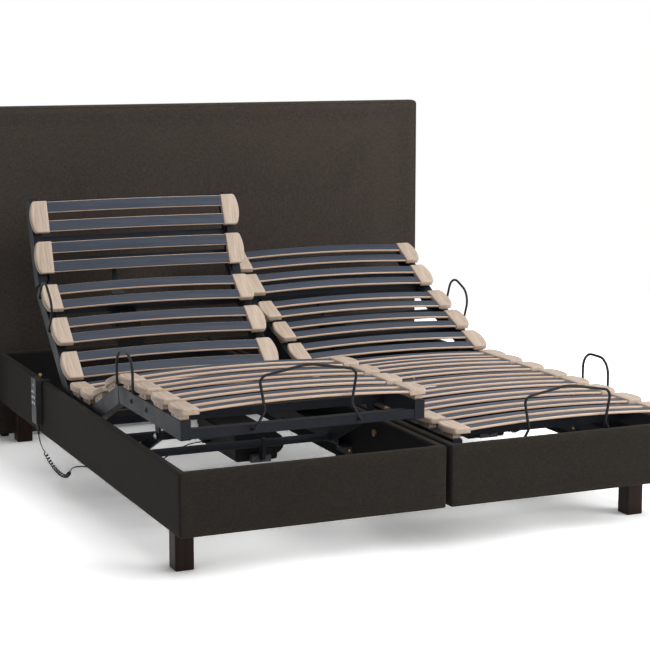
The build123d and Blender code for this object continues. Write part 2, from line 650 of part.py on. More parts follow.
def calf_frame():
    """Calf rails with corner posts, foot bar, cross tubes, knee ears and the brackets of the link arms."""
    post_start = CALF_LENGTH - POST_SIZE
    pieces = mitred(rails((0, -post_start)), 0, -1) + [cross_tube(-y) for y in CALF_TUBES]
    pieces += pivot_ears(-1)
    post_z = (-RAIL_HEIGHT - POST_DROP, 0)
    pieces += both_sides(block((RAIL_OUTER - POST_SIZE, RAIL_OUTER), (-CALF_LENGTH, -post_start), post_z))
    bar_y = -CALF_LENGTH + (POST_SIZE - FOOT_BAR_SIZE) / 2
    pieces.append(tube((-RAIL_OUTER + POST_SIZE, RAIL_OUTER - POST_SIZE), (bar_y, bar_y + FOOT_BAR_SIZE),
                       (-RAIL_HEIGHT, FOOT_BAR_SIZE - RAIL_HEIGHT), 0))
    half = CALF_BRACKET_LENGTH / 2
    corners = [(-LINK_PIN_REACH + y, z) for y, z in ((-half, -EAR_EDGE), (half, -EAR_EDGE), (half, -RAIL_HEIGHT),
                                                     (-half, -RAIL_HEIGHT))]
    bracket = side_plate(CALF_BRACKET, [(-LINK_PIN_REACH, -LINK_PIN_DROP, LINK_ARM_TIP_RADIUS)], corners)
    for span, radius in (((LINK_ARM[0], CALF_BRACKET[0]), LINK_PIN_RADIUS),
                         ((RAIL_INNER, RAIL_INNER + LINK_PIN_HEAD_HEIGHT), LINK_PIN_HEAD_RADIUS)):
        bracket += cylinder_x(span, -LINK_PIN_REACH, -LINK_PIN_DROP, radius)
    return pieces + both_sides(bracket)


def leg_lift():
    """Welded tube with a link arm and a stub axle at each end and the drive's lever, about its own axis."""
    arm = side_plate(LINK_ARM, [(0, 0, LINK_ARM_ROOT_RADIUS), (-THIGH_LENGTH, 0, LINK_ARM_TIP_RADIUS)])
    arm -= cylinder_x(LINK_ARM, -THIGH_LENGTH, 0, LINK_PIN_RADIUS + LINK_PIN_CLEARANCE)
    lean = radians(THIGH_MAX)
    tip = (LIFT_LEVER_LENGTH * sin(lean), -LIFT_LEVER_LENGTH * cos(lean), LIFT_LEVER_NOSE)
    lever_x = (DRIVE_X - LEVER_THICKNESS / 2, DRIVE_X + LEVER_THICKNESS / 2)
    lift = cylinder_x((-RAIL_OUTER, RAIL_OUTER), 0, 0, LIFT_TUBE_RADIUS)
    return [lift + both_sides(arm) + side_plate(lever_x, [(0, 0, LIFT_LEVER_ROOT), tip])]


# Wire hoops and loops

def foot_hoop():
    """Hoop that stands up at the foot end, its feet on the foot bar's face."""
    bar_face = -CALF_LENGTH + (POST_SIZE - FOOT_BAR_SIZE) / 2
    bar_middle = FOOT_BAR_SIZE / 2 - RAIL_HEIGHT
    plane_y = -CALF_LENGTH - HOOP_REACH
    half = [(HOOP_FOOT_HALF_WIDTH, bar_face, bar_middle), (HOOP_FOOT_HALF_WIDTH, plane_y, bar_middle),
            (HOOP_BASE_HALF_WIDTH, plane_y, HOOP_BASE_RISE), (HOOP_TOP_HALF_WIDTH, plane_y, HOOP_SHOULDER_RISE)]
    other = [(-x, y, z) for x, y, z in reversed(half)]
    bends = [WIRE_DIAMETER, HOOP_BEND, HOOP_BEND]
    bends = bends + [HOOP_TOP_HALF_WIDTH] + bends[::-1]
    path = FilletPolyline(*half, (0, plane_y, HOOP_CROWN_RISE), *other, radius=bends)
    return sweep_rod(path, WIRE_DIAMETER, WIRE_SIDES)


def side_loop(half, places):
    """A loop that stands up at the outer side, its feet in the holder holes of two neighbouring caps."""
    x = half.side * (CAP_OUTER + LOOP_CAP_GAP + WIRE_DIAMETER / 2)
    foot_x = half.side * (RAIL_OUTER - RAIL_WIDTH / 2 + HOLDER_WIDTH / 2 - LOOP_FOOT_LENGTH)
    low, (start, end) = (CAP_TOP - CAP_THICKNESS) / 2, places
    points = [(foot_x, start, low), (x, start, low), (x, start, LOOP_HEIGHT),
              (x, end, LOOP_HEIGHT), (x, end, low), (foot_x, end, low)]
    path = FilletPolyline(*points, radius=[LOOP_FOOT_BEND, LOOP_BEND, LOOP_BEND, LOOP_FOOT_BEND])
    return sweep_rod(path, WIRE_DIAMETER, WIRE_SIDES)


def loop_places(caps, step):
    """Places of two neighbouring caps' holder holes, on the same side of each cap's middle."""
    return [place + step * HOLDER_HOLE_SPACING / 2 for place in caps]


# Drives

def slide_travel(lever_length, swing):
    """How far a slide moves while its lever swings evenly to both sides of upright."""
    return 2 * lever_length * sin(radians(swing / 2))


def slide_block(width, thickness, height, tongue):
    """A pushing block with its front at the origin facing +Y, and a tongue behind it."""
    tongue_width, tongue_height, tongue_length = tongue
    return [block((-width / 2, width / 2), (-thickness, 0), (-height / 2, height / 2))
            + block((-tongue_width / 2, tongue_width / 2), (-thickness - tongue_length, -thickness),
                    (-tongue_height / 2, tongue_height / 2))]


def tongue_pocket(tongue, depth):
    """The pocket in a drive's end for a tongue, with its mouth at the origin facing +Y."""
    width, height = (size + 2 * TONGUE_FIT for size in tongue[:2])
    return block((-width / 2, width / 2), (-depth, 1), (-height / 2, height / 2))


def back_slide_front():
    """Where the back slide's front stands when the back is flat, as a place along the bed."""
    return BACK_HINGE_Y - slide_travel(BACK_LEVER_LENGTH, BACK_MAX) / 2 - BACK_LEVER_NOSE - BACK_SLIDE_GAP


def leg_slide_front():
    """Where the leg slide's front stands when the legs are flat."""
    return LINK_PIVOT_Y + LEG_TRAVEL + LIFT_LEVER_NOSE + LEG_SLIDE_GAP


def head_slide_front():
    """Where the head slide's front stands when the head is flat, along the back section."""
    return BACK_LENGTH - slide_travel(HEAD_LEVER_LENGTH, HEAD_MAX) / 2 - HEAD_LEVER_NOSE - HEAD_SLIDE_GAP


def lever_band(axis_z, length, swing):
    """Lowest and highest place of a lever's nose while it swings."""
    return axis_z - length, axis_z - length * cos(radians(swing / 2))


BACK_BAND = lever_band(RAIL_TOP, BACK_LEVER_LENGTH, BACK_MAX)
HEAD_BAND = lever_band(0, HEAD_LEVER_LENGTH, HEAD_MAX)
BACK_TONGUE = (TONGUE_WIDTH, TONGUE_HEIGHT, slide_travel(BACK_LEVER_LENGTH, BACK_MAX) + TONGUE_HOLD)
LEG_TRAVEL = LIFT_LEVER_LENGTH * sin(radians(THIGH_MAX))
LEG_SLIDE_Z = LINK_PIVOT_Z - LIFT_LEVER_LENGTH + LEG_SLIDE_LIP - SLIDE_MARGIN
LEG_TONGUE = (TONGUE_WIDTH, TONGUE_HEIGHT, LEG_TRAVEL + TONGUE_HOLD)
HEAD_TONGUE = (HEAD_TONGUE_WIDTH, HEAD_TONGUE_HEIGHT, slide_travel(HEAD_LEVER_LENGTH, HEAD_MAX) + TONGUE_HOLD)


def drive_housing(half):
    """Double drive hung under the carrier tubes: body, motor covers, end pockets and the lead's gland."""
    x_span = (DRIVE_X - DRIVE_WIDTH / 2, DRIVE_X + DRIVE_WIDTH / 2)
    z_span = (DRIVE_TOP - DRIVE_HEIGHT, DRIVE_TOP)
    body = block(x_span, (DRIVE_FOOT_END, DRIVE_HEAD_END), z_span)
    body = fillet(body.edges().filter_by(Axis.Y), DRIVE_EDGE_RADIUS)
    motor_z = z_span[0] + MOTOR_RADIUS + MOTOR_SIDE_RISE / 2
    for span in ((DRIVE_FOOT_END + MOTOR_SIDE_RISE, DRIVE_FOOT_END + MOTOR_SIDE_RISE + MOTOR_LENGTH),
                 (DRIVE_HEAD_END - MOTOR_SIDE_RISE - MOTOR_LENGTH, DRIVE_HEAD_END - MOTOR_SIDE_RISE)):
        body += cylinder_y(x_span[1], span, motor_z, MOTOR_RADIUS)
    back_depth = DRIVE_HEAD_END - (back_slide_front() - BACK_SLIDE_THICKNESS - BACK_TONGUE[2]) + POCKET_END
    body -= Pos(DRIVE_X, DRIVE_HEAD_END, sum(BACK_BAND) / 2) * tongue_pocket(BACK_TONGUE, back_depth)
    leg_depth = leg_slide_front() + LEG_SLIDE_THICKNESS + LEG_TONGUE[2] - DRIVE_FOOT_END + POCKET_END
    pocket = Rot(0, 0, 180) * tongue_pocket(LEG_TONGUE, leg_depth)
    body -= Pos(DRIVE_X, DRIVE_FOOT_END, LEG_SLIDE_Z) * pocket
    lead_out, lead_y, lead_z = LEAD_TAIL_ROUTES[half.name][-1]
    lead_x = half.side * (BOX_WIDTH / 2 + lead_out)
    gland_x = sorted((lead_x, DRIVE_X + half.side * DRIVE_WIDTH / 2))
    return [body + cylinder_x(gland_x, THIGH_HINGE_Y + lead_y, lead_z, GLAND_RADIUS)]


def back_slide(half):
    """Block that pushes the back lever, at its place for the back's rest angle."""
    shift = slide_travel(BACK_LEVER_LENGTH, BACK_MAX) * half.back_angle / BACK_MAX
    height = BACK_BAND[1] - BACK_BAND[0] + 2 * SLIDE_MARGIN
    place = Pos(DRIVE_X, back_slide_front() + shift, sum(BACK_BAND) / 2)
    return [place * piece for piece in slide_block(SLIDE_WIDTH, BACK_SLIDE_THICKNESS, height, BACK_TONGUE)]


def leg_slide(half):
    """Block that pushes the leg lift's lever towards the foot, at its place for the thigh's rest angle."""
    shift = LEG_TRAVEL * half.thigh_angle / THIGH_MAX
    place = Pos(DRIVE_X, leg_slide_front() - shift, LEG_SLIDE_Z) * Rot(0, 0, 180)
    return [place * piece for piece in slide_block(SLIDE_WIDTH, LEG_SLIDE_THICKNESS, 2 * SLIDE_MARGIN, LEG_TONGUE)]


def head_drive():
    """Small drive hung under two of the back's cross tubes."""
    x_span = (HEAD_DRIVE_X - HEAD_DRIVE_WIDTH / 2, HEAD_DRIVE_X + HEAD_DRIVE_WIDTH / 2)
    body = block(x_span, (HEAD_DRIVE_START, HEAD_DRIVE_END), (TUBE_BOTTOM - HEAD_DRIVE_HEIGHT, TUBE_BOTTOM))
    body = fillet(body.edges().filter_by(Axis.Y), DRIVE_EDGE_RADIUS)
    depth = HEAD_DRIVE_END - (head_slide_front() - HEAD_SLIDE_THICKNESS - HEAD_TONGUE[2]) + POCKET_END
    return [body - Pos(HEAD_DRIVE_X, HEAD_DRIVE_END, sum(HEAD_BAND) / 2) * tongue_pocket(HEAD_TONGUE, depth)]


def head_slide(half):
    """Block that pushes the head lever, at its place for the head's rest angle."""
    shift = slide_travel(HEAD_LEVER_LENGTH, HEAD_MAX) * half.head_angle / HEAD_MAX
    height = HEAD_BAND[1] - HEAD_BAND[0] + 2 * SLIDE_MARGIN
    place = Pos(HEAD_DRIVE_X, head_slide_front() + shift, sum(HEAD_BAND) / 2)
    return [place * piece for piece in slide_block(HEAD_SLIDE_WIDTH, HEAD_SLIDE_THICKNESS, height, HEAD_TONGUE)]


# Handset and lead, drawn on the right side of the bed with +X outwards from the box's side

def at_side(half, shape):
    """Place a shape drawn outwards from a box side, at the thigh hinge, onto that half's outer face."""
    placed = Pos(BOX_WIDTH + BOX_GAP / 2, FOOT_Y + THIGH_HINGE_Y, 0) * shape
    return placed if half.side > 0 else mirror(placed, about=Plane.YZ)


def handset():
    """Housing with a recess for each rocker key, a gland at its lower end and a hook over the panel."""
    back, front = HANDSET_STANDOFF, HANDSET_STANDOFF + HANDSET_THICKNESS
    y_span = (HANDSET_Y - HANDSET_WIDTH / 2, HANDSET_Y + HANDSET_WIDTH / 2)
    top = HANDSET_BOTTOM + HANDSET_LENGTH
    body = block((back, front), y_span, (HANDSET_BOTTOM, top))
    body = fillet(body.edges().filter_by(Axis.X), HANDSET_EDGE_RADIUS)
    for z in rocker_heights():
        reach = ROCKER_LENGTH / 2 + ROCKER_FIT, ROCKER_WIDTH / 2 + ROCKER_FIT
        body -= block((front - ROCKER_DEPTH, front + 1), (HANDSET_Y - reach[0], HANDSET_Y + reach[0]),
                      (z - reach[1], z + reach[1]))
    lead_x, lead_y, lead_z = LEAD_TOP_ROUTE[0]
    gland = Cylinder(GLAND_RADIUS, HANDSET_BOTTOM - lead_z, align=(Align.CENTER, Align.CENTER, Align.MIN))
    return [body + Pos(lead_x, lead_y, lead_z) * gland, handset_hook()]


def handset_hook():
    """Bent strip from the handset's back over the side panel's top edge."""
    over, under = BOX_TOP + HOOK_FIT + HOOK_THICKNESS, BOX_TOP + HOOK_FIT
    inside = -PANEL_THICKNESS - LINING_THICKNESS - HOOK_FIT
    back, face = HANDSET_STANDOFF, HANDSET_STANDOFF - HOOK_THICKNESS
    low = BOX_TOP - HOOK_DROP
    outline = make_face(Polyline((back, low), (back, over), (inside - HOOK_THICKNESS, over),
                                 (inside - HOOK_THICKNESS, low), (inside, low), (inside, under), (face, under),
                                 (face, low), close=True))
    return Pos(0, HANDSET_Y, 0) * extrude(Plane.XZ * outline, amount=HOOK_WIDTH / 2, both=True)


def rocker_heights():
    """Heights of the rocker keys' middles on the hanging handset."""
    first = HANDSET_BOTTOM + HANDSET_LENGTH - ROCKER_FIRST_DROP
    return [first - i * ROCKER_PITCH for i in range(ROCKER_COUNT)]


def rocker(z):
    """A rocker key that tilts on the ridge along its back."""
    front = HANDSET_STANDOFF + HANDSET_THICKNESS
    floor = front - ROCKER_DEPTH + RUNNING_CLEARANCE
    half, top = ROCKER_LENGTH / 2, front + ROCKER_PROUD
    end_floor = floor + half * tan(radians(ROCKER_TILT)) + ROCKER_END_GAP
    outline = make_face(Polyline((floor, 0), (end_floor, half), (top, half), (top - ROCKER_PROUD / 2, 0),
                                 (top, -half), (end_floor, -half), close=True))
    return Pos(0, HANDSET_Y, z) * extrude(outline, amount=ROCKER_WIDTH / 2, both=True)


def plain_lead(name, points):
    """A round lead along a hand-chosen route, with the largest arcs its runs allow."""
    radii = route_radii(points)
    path = FilletPolyline(*points, radius=radii)
    lead = sweep_rod(path, LEAD_DIAMETER, LEAD_SIDES)
    section = pi * LEAD_DIAMETER ** 2 / 4
    print(f"{name}: length {path.length:.0f}, smallest radius {min(radii):.0f}, "
          f"volume over section times length {lead.volume / (section * path.length):.4f}")
    return lead


def curl_points():
    """Points and tangents of the curly stretch, a half turn apart: open curls, then closed ones."""
    route = FilletPolyline(*CURL_ROUTE, radius=route_radii(CURL_ROUTE))
    straight = LEAD_DIAMETER + CURL_LEAD_IN
    closed_length = CLOSED_CURLS * CLOSED_CURL_PITCH
    open_pitch = (route.length - 2 * straight - closed_length) / OPEN_CURLS

    def point(turn):
        open_turns = min(turn, OPEN_CURLS)
        along = straight + open_turns * open_pitch + (turn - open_turns) * CLOSED_CURL_PITCH
        share = along / route.length
        middle, forward = route @ share, route % share
        sideways = Vector(1, 0, 0)
        upward = forward.cross(sideways)
        angle = 2 * pi * turn
        return middle + (sideways * sin(angle) + upward * cos(angle)) * CURL_RADIUS

    turns = [i / 2 for i in range(2 * (OPEN_CURLS + CLOSED_CURLS) + 1)]
    small = 1e-4
    points = [point(turn) for turn in turns]
    tangents = [(point(turn + small) - point(turn - small)).normalized() for turn in turns]
    return route, points, tangents


def biarc(start, start_dir, end, end_dir):
    """Two arcs that join two points with given directions."""
    span, total = end - start, start_dir + end_dir
    closeness = 2 * (1 - start_dir.dot(end_dir))
    along = span.dot(total)
    if closeness < 1e-9:
        handle = span.dot(span) / (4 * span.dot(end_dir))
    else:
        handle = (-along + (along ** 2 + closeness * span.dot(span)) ** 0.5) / closeness
    first, second = start + start_dir * handle, end - end_dir * handle
    middle = (first + second) * 0.5
    return [TangentArc(start, middle, tangent=start_dir), TangentArc(middle, end, tangent=second - first)]


def curly_lead():
    """The curly stretch as one unbroken tube, and the least gap between its own turns."""
    route, points, tangents = curl_points()
    start, end = route @ 0 + route % 0 * LEAD_DIAMETER, route @ 1 - route % 1 * LEAD_DIAMETER
    points = [start] + points + [end]
    tangents = [route % 0] + tangents + [route % 1]
    edges = [Line(route @ 0, start)]
    for i in range(len(points) - 1):
        edges += biarc(points[i], tangents[i], points[i + 1], tangents[i + 1])
    path = Wire(edges + [Line(end, route @ 1)])
    lead = sweep_rod(path, LEAD_DIAMETER, LEAD_SIDES)
    samples = [path @ (i / 1500) for i in range(1501)]
    skip = ceil(1500 * pi * CURL_RADIUS / path.length)
    gap = min((samples[i] - samples[j]).length for i in range(0, 1501, 3) for j in range(i + skip, 1501, 3))
    print(f"curly lead: wire length {path.length:.0f}, least gap between turns {gap - LEAD_DIAMETER:.2f}, "
          f"volume share {lead.volume / (pi * LEAD_DIAMETER ** 2 / 4 * path.length):.4f}")
    return lead


# All nodes

SLAT = slat()
CAP_PAIR = both_sides(slat_cap())
SEAT_CAPS = cap_places(SEAT_LENGTH, SEAT_CAP_INSETS)
BACK_CAPS = cap_places(BACK_LENGTH, BACK_CAP_INSETS)
HEAD_CAPS = cap_places(HEAD_LENGTH, HEAD_CAP_INSETS)
THIGH_CAPS = cap_places(THIGH_LENGTH, THIGH_CAP_INSETS)
CALF_CAPS = cap_places(CALF_LENGTH, CALF_CAP_INSETS)


def fixed_nodes():
    """Pieces that stay still, each node for both halves."""
    nodes = {
        "headboard": headboard(),
        "headboard_glides": headboard_glides(),
        "legs": legs(),
        "leg_blocks": leg_blocks(),
        "fasteners": headboard_screws() + joining_bolts(),
        "box_panels": [],
        "box_lining": [],
        "base_frames": [],
        "seat_slats": [],
        "seat_caps": [],
        "drive_housings": [],
        "handsets": [],
    }
    for half in HALVES:
        nodes["box_panels"] += moved(at_base(half), box_panels())
        nodes["box_lining"] += moved(at_base(half), box_lining())
        nodes["base_frames"] += moved(at_base(half), base_frame() + frame_brackets())
        nodes["seat_slats"] += moved(at_seat(half), slats_at(SEAT_CAPS))
        nodes["seat_caps"] += moved(at_seat(half), caps_at(SEAT_CAPS))
        nodes["drive_housings"] += moved(at_base(half), drive_housing(half))
        nodes["handsets"] += [at_side(half, piece) for piece in handset()]
    return nodes


def half_nodes(half, curly):
    """Sections, drive slides, keys and leads of one half."""
    back, head, thigh, calf = at_back(half), at_head(half), at_thigh(half), at_calf(half)
    thigh_caps, calf_caps = [-y for y in THIGH_CAPS], [-y for y in CALF_CAPS]
    top = plain_lead(f"{half.name} lead, upper", LEAD_TOP_ROUTE)
    tail = plain_lead(f"{half.name} lead, tail", LEAD_TAIL_ROUTES[half.name])
    nodes = {
        "back_frame": moved(back, back_frame()),
        "back_slats": moved(back, slats_at(BACK_CAPS)),
        "back_caps": moved(back, caps_at(BACK_CAPS)),
        "back_loop": moved(back, [side_loop(half, loop_places(BACK_CAPS[-2:], 1))]),
        "head_frame": moved(head, head_frame()),
        "head_slats": moved(head, slats_at(HEAD_CAPS)),
        "head_caps": moved(head, caps_at(HEAD_CAPS)),
        "thigh_frame": moved(thigh, thigh_frame()),
        "thigh_slats": moved(thigh, slats_at(thigh_caps)),
        "thigh_caps": moved(thigh, caps_at(thigh_caps)),
        "calf_frame": moved(calf, calf_frame()),
        "calf_slats": moved(calf, slats_at(calf_caps)),
        "calf_caps": moved(calf, caps_at(calf_caps)),
        "calf_wires": moved(calf, [foot_hoop(), side_loop(half, loop_places(calf_caps[:2], 1))]),
        "leg_lift": moved(at_lift(half), leg_lift()),
        "back_slide": moved(at_base(half), back_slide(half)),
        "leg_slide": moved(at_base(half), leg_slide(half)),
        "head_drive": moved(back, head_drive()),
        "head_slide": moved(back, head_slide(half)),
        "lead": [at_side(half, top), at_side(half, tail)],
        "curly_lead": [at_side(half, curly)],
    }
    for i, z in enumerate(rocker_heights()):
        nodes[f"rocker_{i + 1}"] = [at_side(half, rocker(z))]
    return {f"{half.name}_{piece}": solids for piece, solids in nodes.items()}


def build():
    """Every named piece of the bed with its solids."""
    nodes = fixed_nodes()
    curly = curly_lead()
    for half in HALVES:
        nodes.update(half_nodes(half, curly))
    return nodes


def write(nodes):
    """One STEP file for each node."""
    os.makedirs("parts", exist_ok=True)
    for name, solids in nodes.items():
        export_step(Compound(label=name, children=[Solid(solid.solid().wrapped) for solid in solids]),
                    f"parts/{name}.step")


write(build())
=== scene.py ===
"""Looks of the adjustable double bed base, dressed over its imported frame.

Lengths are in metres: X to the right as seen from the foot, Y towards the head, Z up.
"""

import json
import logging
import math
from collections.abc import Sequence
from dataclasses import dataclass, field
from enum import Enum

import bmesh
import bpy
from mathutils import Matrix, Vector, noise
from mathutils.geometry import tessellate_polygon

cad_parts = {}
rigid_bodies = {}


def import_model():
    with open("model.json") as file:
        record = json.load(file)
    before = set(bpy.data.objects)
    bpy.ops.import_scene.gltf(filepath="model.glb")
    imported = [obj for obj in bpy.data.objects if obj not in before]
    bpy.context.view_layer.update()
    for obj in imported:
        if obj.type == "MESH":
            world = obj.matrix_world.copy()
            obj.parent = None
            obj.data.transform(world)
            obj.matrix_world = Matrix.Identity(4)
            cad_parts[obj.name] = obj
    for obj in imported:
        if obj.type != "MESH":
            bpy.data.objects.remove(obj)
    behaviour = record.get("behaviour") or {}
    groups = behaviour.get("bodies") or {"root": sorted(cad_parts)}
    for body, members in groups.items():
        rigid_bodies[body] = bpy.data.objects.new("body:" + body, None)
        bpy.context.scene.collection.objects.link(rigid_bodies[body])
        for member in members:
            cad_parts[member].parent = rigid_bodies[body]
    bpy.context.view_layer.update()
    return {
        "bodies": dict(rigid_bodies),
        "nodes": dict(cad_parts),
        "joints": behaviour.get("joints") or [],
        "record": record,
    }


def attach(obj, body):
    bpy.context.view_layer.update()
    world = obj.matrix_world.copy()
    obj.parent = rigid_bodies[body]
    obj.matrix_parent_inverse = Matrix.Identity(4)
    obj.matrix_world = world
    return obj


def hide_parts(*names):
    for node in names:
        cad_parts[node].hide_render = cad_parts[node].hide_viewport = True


LOG = logging.getLogger("bed_base")

Colour = tuple[float, float, float]
Triple = tuple[float, float, float]
Pair = tuple[float, float]
WireLine = list[tuple[Triple, float]]
Socket = bpy.types.NodeSocket

FOOT_Y = -1.040
BOX_LENGTH = 2.000
BOX_WIDTH = 0.800
BOX_GAP = 0.010
RAIL_TOP = 0.322
RAIL_OUTER = 0.365
RAIL_WIDTH = 0.030
RAIL_HEIGHT = 0.052
THIGH_HINGE = 0.918
SEAT_LENGTH = 0.247
BACK_LENGTH = 0.462
HEAD_LENGTH = 0.300
THIGH_LENGTH = 0.305
CALF_LENGTH = 0.557

# Length of one band of a wave pattern at scale 1
WAVE_LENGTH = math.pi / 10

# Random seeds kept for the rows of one half
SEEDS_PER_HALF = 10


class Side(Enum):
    """A half of the bed, valued by its sign along X."""

    LEFT = -1
    RIGHT = 1

    @property
    def label(self) -> str:
        """The half's name as it starts the names of its pieces."""
        return self.name.lower()

    @property
    def middle(self) -> float:
        """X of the half's middle line."""
        return self.value * (BOX_WIDTH + BOX_GAP) / 2

    @property
    def outer_face(self) -> float:
        """X of the box side that faces away from the other half."""
        return self.value * (BOX_WIDTH + BOX_GAP / 2)


class Coords(Enum):
    """What a pattern is laid out on."""

    PIECE = "piece"
    GRAIN = "grain"


class Edge(Enum):
    """The sides of a rounded outline, in the order they follow each other."""

    LOW = 0
    RIGHT = 1
    HIGH = 2
    LEFT = 3


# Edge, share along it or angle round its end corner, and whether it is on that corner
Station = tuple[Edge, float, bool]


# Finishes


class NodeBoard:
    """A node tree being laid out."""

    def __init__(self, tree: bpy.types.NodeTree) -> None:
        """Take up a tree."""
        self.tree = tree

    def add(self, kind: str, values: dict | None = None, **settings: object) -> bpy.types.Node:
        """Add a node.

        Args:
            kind: The node's type.
            values: Values of its inputs, as feed takes them.
            settings: The node's own settings.

        Returns:
            The node.
        """
        node = self.tree.nodes.new(kind)
        for key, value in settings.items():
            setattr(node, key, value)
        return self.feed(node, values or {})

    def feed(self, node: bpy.types.Node, values: dict) -> bpy.types.Node:
        """Fill a node's inputs.

        Args:
            node: The node.
            values: Input name or number to a plain value or to the socket that feeds it.

        Returns:
            The same node.
        """
        for key, value in values.items():
            if isinstance(value, bpy.types.NodeSocket):
                self.tree.links.new(value, node.inputs[key])
            else:
                node.inputs[key].default_value = value
        return node

    def calc(self, operation: str, a: Socket | float, b: Socket | float) -> Socket:
        """One sum of two numbers."""
        return self.add("ShaderNodeMath", {0: a, 1: b}, operation=operation).outputs[0]

    def span(self, value: Socket, low: float, high: float, to_low: float = 0.0, to_high: float = 1.0,
             easing: str = "LINEAR") -> Socket:
        """A number's span stretched or turned to another, and held there."""
        values = {"Value": value, "From Min": low, "From Max": high, "To Min": to_low, "To Max": to_high}
        return self.add("ShaderNodeMapRange", values, interpolation_type=easing).outputs["Result"]


class Shading(NodeBoard):
    """A material being mixed: its node tree, its shader and the coordinates its patterns read."""

    BEVEL_SAMPLES = 4
    # How alike the true and the rounded normal are where wear begins and where it is full
    WEAR_SPAN = (0.99, 0.80)

    def __init__(self, name: str, roughness: float, coords: Coords = Coords.PIECE) -> None:
        """Start a material.

        Args:
            name: Name of the material.
            roughness: Roughness of its shader.
            coords: Whether patterns follow the whole piece or the single slat or cap.
        """
        self.material = bpy.data.materials.new(name)
        self.material.use_nodes = True
        super().__init__(self.material.node_tree)
        self.shader = self.tree.nodes["Principled BSDF"]
        self.shader.inputs["Roughness"].default_value = roughness
        if coords is Coords.PIECE:
            self.place = self.add("ShaderNodeTexCoord").outputs["Object"]
        else:
            self.place = self.add("ShaderNodeAttribute", attribute_name="grain").outputs["Vector"]

    def fix(self, **values: float | tuple) -> None:
        """Set shader inputs that are the same all over, such as Sheen_Weight=0.2."""
        self.feed(self.shader, {key.replace("_", " "): value for key, value in values.items()})

    def noise(self, scale: Triple, detail: float = 2.0, roughness: float = 0.5,
              distortion: float = 0.0) -> Socket:
        """Lay out a noise.

        Args:
            scale: Lumps per metre along each axis.
            detail: How many finer noises lie over it.
            roughness: How strong the finer ones are.
            distortion: How far it is swirled.

        Returns:
            The noise, from 0 to 1.
        """
        spread = self.add("ShaderNodeMapping", {"Vector": self.place, "Scale": scale})
        values = {"Vector": spread.outputs[0], "Scale": 1.0, "Detail": detail, "Roughness": roughness,
                  "Distortion": distortion}
        return self.add("ShaderNodeTexNoise", values).outputs["Fac"]

    def bands(self, axis: str, pitch: float, distortion: float = 0.0) -> Socket:
        """Even bands across an axis, a pitch apart."""
        values = {"Vector": self.place, "Scale": WAVE_LENGTH / pitch, "Distortion": distortion, "Detail": 1.0}
        return self.add("ShaderNodeTexWave", values, bands_direction=axis).outputs["Fac"]

    def tone(self) -> Socket:
        """A number from 0 to 1 that each slat or cap has of its own."""
        return self.add("ShaderNodeAttribute", attribute_name="tone").outputs["Fac"]

    def blend(self, first: Socket, second: Socket, share: float) -> Socket:
        """Two patterns added, the second with the given share."""
        return self.calc("ADD", self.calc("MULTIPLY", first, 1 - share), self.calc("MULTIPLY", second, share))

    def mix(self, share: Socket, first: Colour | Socket, second: Colour | Socket) -> Socket:
        """A colour between two, by share."""
        pick = [(*c, 1.0) if isinstance(c, tuple) else c for c in (first, second)]
        return self.add("ShaderNodeMix", {0: share, 6: pick[0], 7: pick[1]}, data_type="RGBA").outputs[2]

    def edge_wear(self, radius: float) -> Socket:
        """Find the piece's sharp edges, where a finish is rubbed thin.

        Args:
            radius: How far from an edge the wear begins.

        Returns:
            1 along the edges and 0 elsewhere.
        """
        rounded = self.add("ShaderNodeBevel", {"Radius": radius}, samples=self.BEVEL_SAMPLES).outputs[0]
        true = self.add("ShaderNodeNewGeometry").outputs["Normal"]
        match = self.add("ShaderNodeVectorMath", {0: rounded, 1: true}, operation="DOT_PRODUCT")
        return self.span(match.outputs["Value"], *self.WEAR_SPAN)

    def surface(self, height: Socket, strength: float, depth: float, soften: float = 0.0) -> None:
        """Raise the surface by a pattern.

        Args:
            height: The pattern.
            strength: How strongly it shows, to 1.
            depth: Its height in metres.
            soften: Radius by which sharp edges are shaded round.
        """
        values = {"Height": height, "Strength": strength, "Distance": depth}
        if soften:
            rounded = self.add("ShaderNodeBevel", {"Radius": soften}, samples=self.BEVEL_SAMPLES)
            values["Normal"] = rounded.outputs[0]
        self.feed(self.shader, {"Normal": self.add("ShaderNodeBump", values).outputs[0]})


@dataclass(frozen=True)
class Finish:
    """A finish of the bed; each kind says how its material is mixed."""

    name: str

    def material(self) -> bpy.types.Material:
        """The finish's material, mixed the first time it is asked for."""
        return bpy.data.materials.get(self.name) or self.mixed().material

    def mixed(self) -> Shading:
        """Mix the material."""
        raise NotImplementedError


@dataclass(frozen=True)
class TwoTone(Finish):
    """A finish whose pattern runs between two colours."""

    dark: Colour
    light: Colour


@dataclass(frozen=True)
class WovenCloth(TwoTone):
    """Upholstery cloth of mixed dark and pale threads."""

    thread: float = 0.0021

    def mixed(self) -> Shading:
        """Slubs along warp and weft, soft clouds of colour and a raised weave.

        Returns:
            The mixed material.
        """
        s = Shading(self.name, roughness=0.92)
        slubs = s.blend(s.noise((70, 70, 560), detail=3), s.noise((560, 560, 70), detail=3), 0.5)
        clouds = s.noise((3, 3, 3), detail=2)
        shade = s.blend(s.span(slubs, 0.38, 0.62), clouds, 0.22)
        weave = s.blend(s.blend(s.bands("X", self.thread), s.bands("Y", self.thread), 0.5),
                        s.bands("Z", self.thread), 0.34)
        shade = s.blend(shade, s.span(weave, 0.25, 0.75), 0.2)
        s.feed(s.shader, {"Base Color": s.mix(shade, self.dark, self.light),
                          "Roughness": s.span(slubs, 0.3, 0.7, 0.85, 0.98)})
        s.fix(Sheen_Weight=0.02, Sheen_Roughness=0.4, Specular_IOR_Level=0.12)
        s.surface(s.blend(weave, slubs, 0.45), strength=0.55, depth=0.0012)
        return s


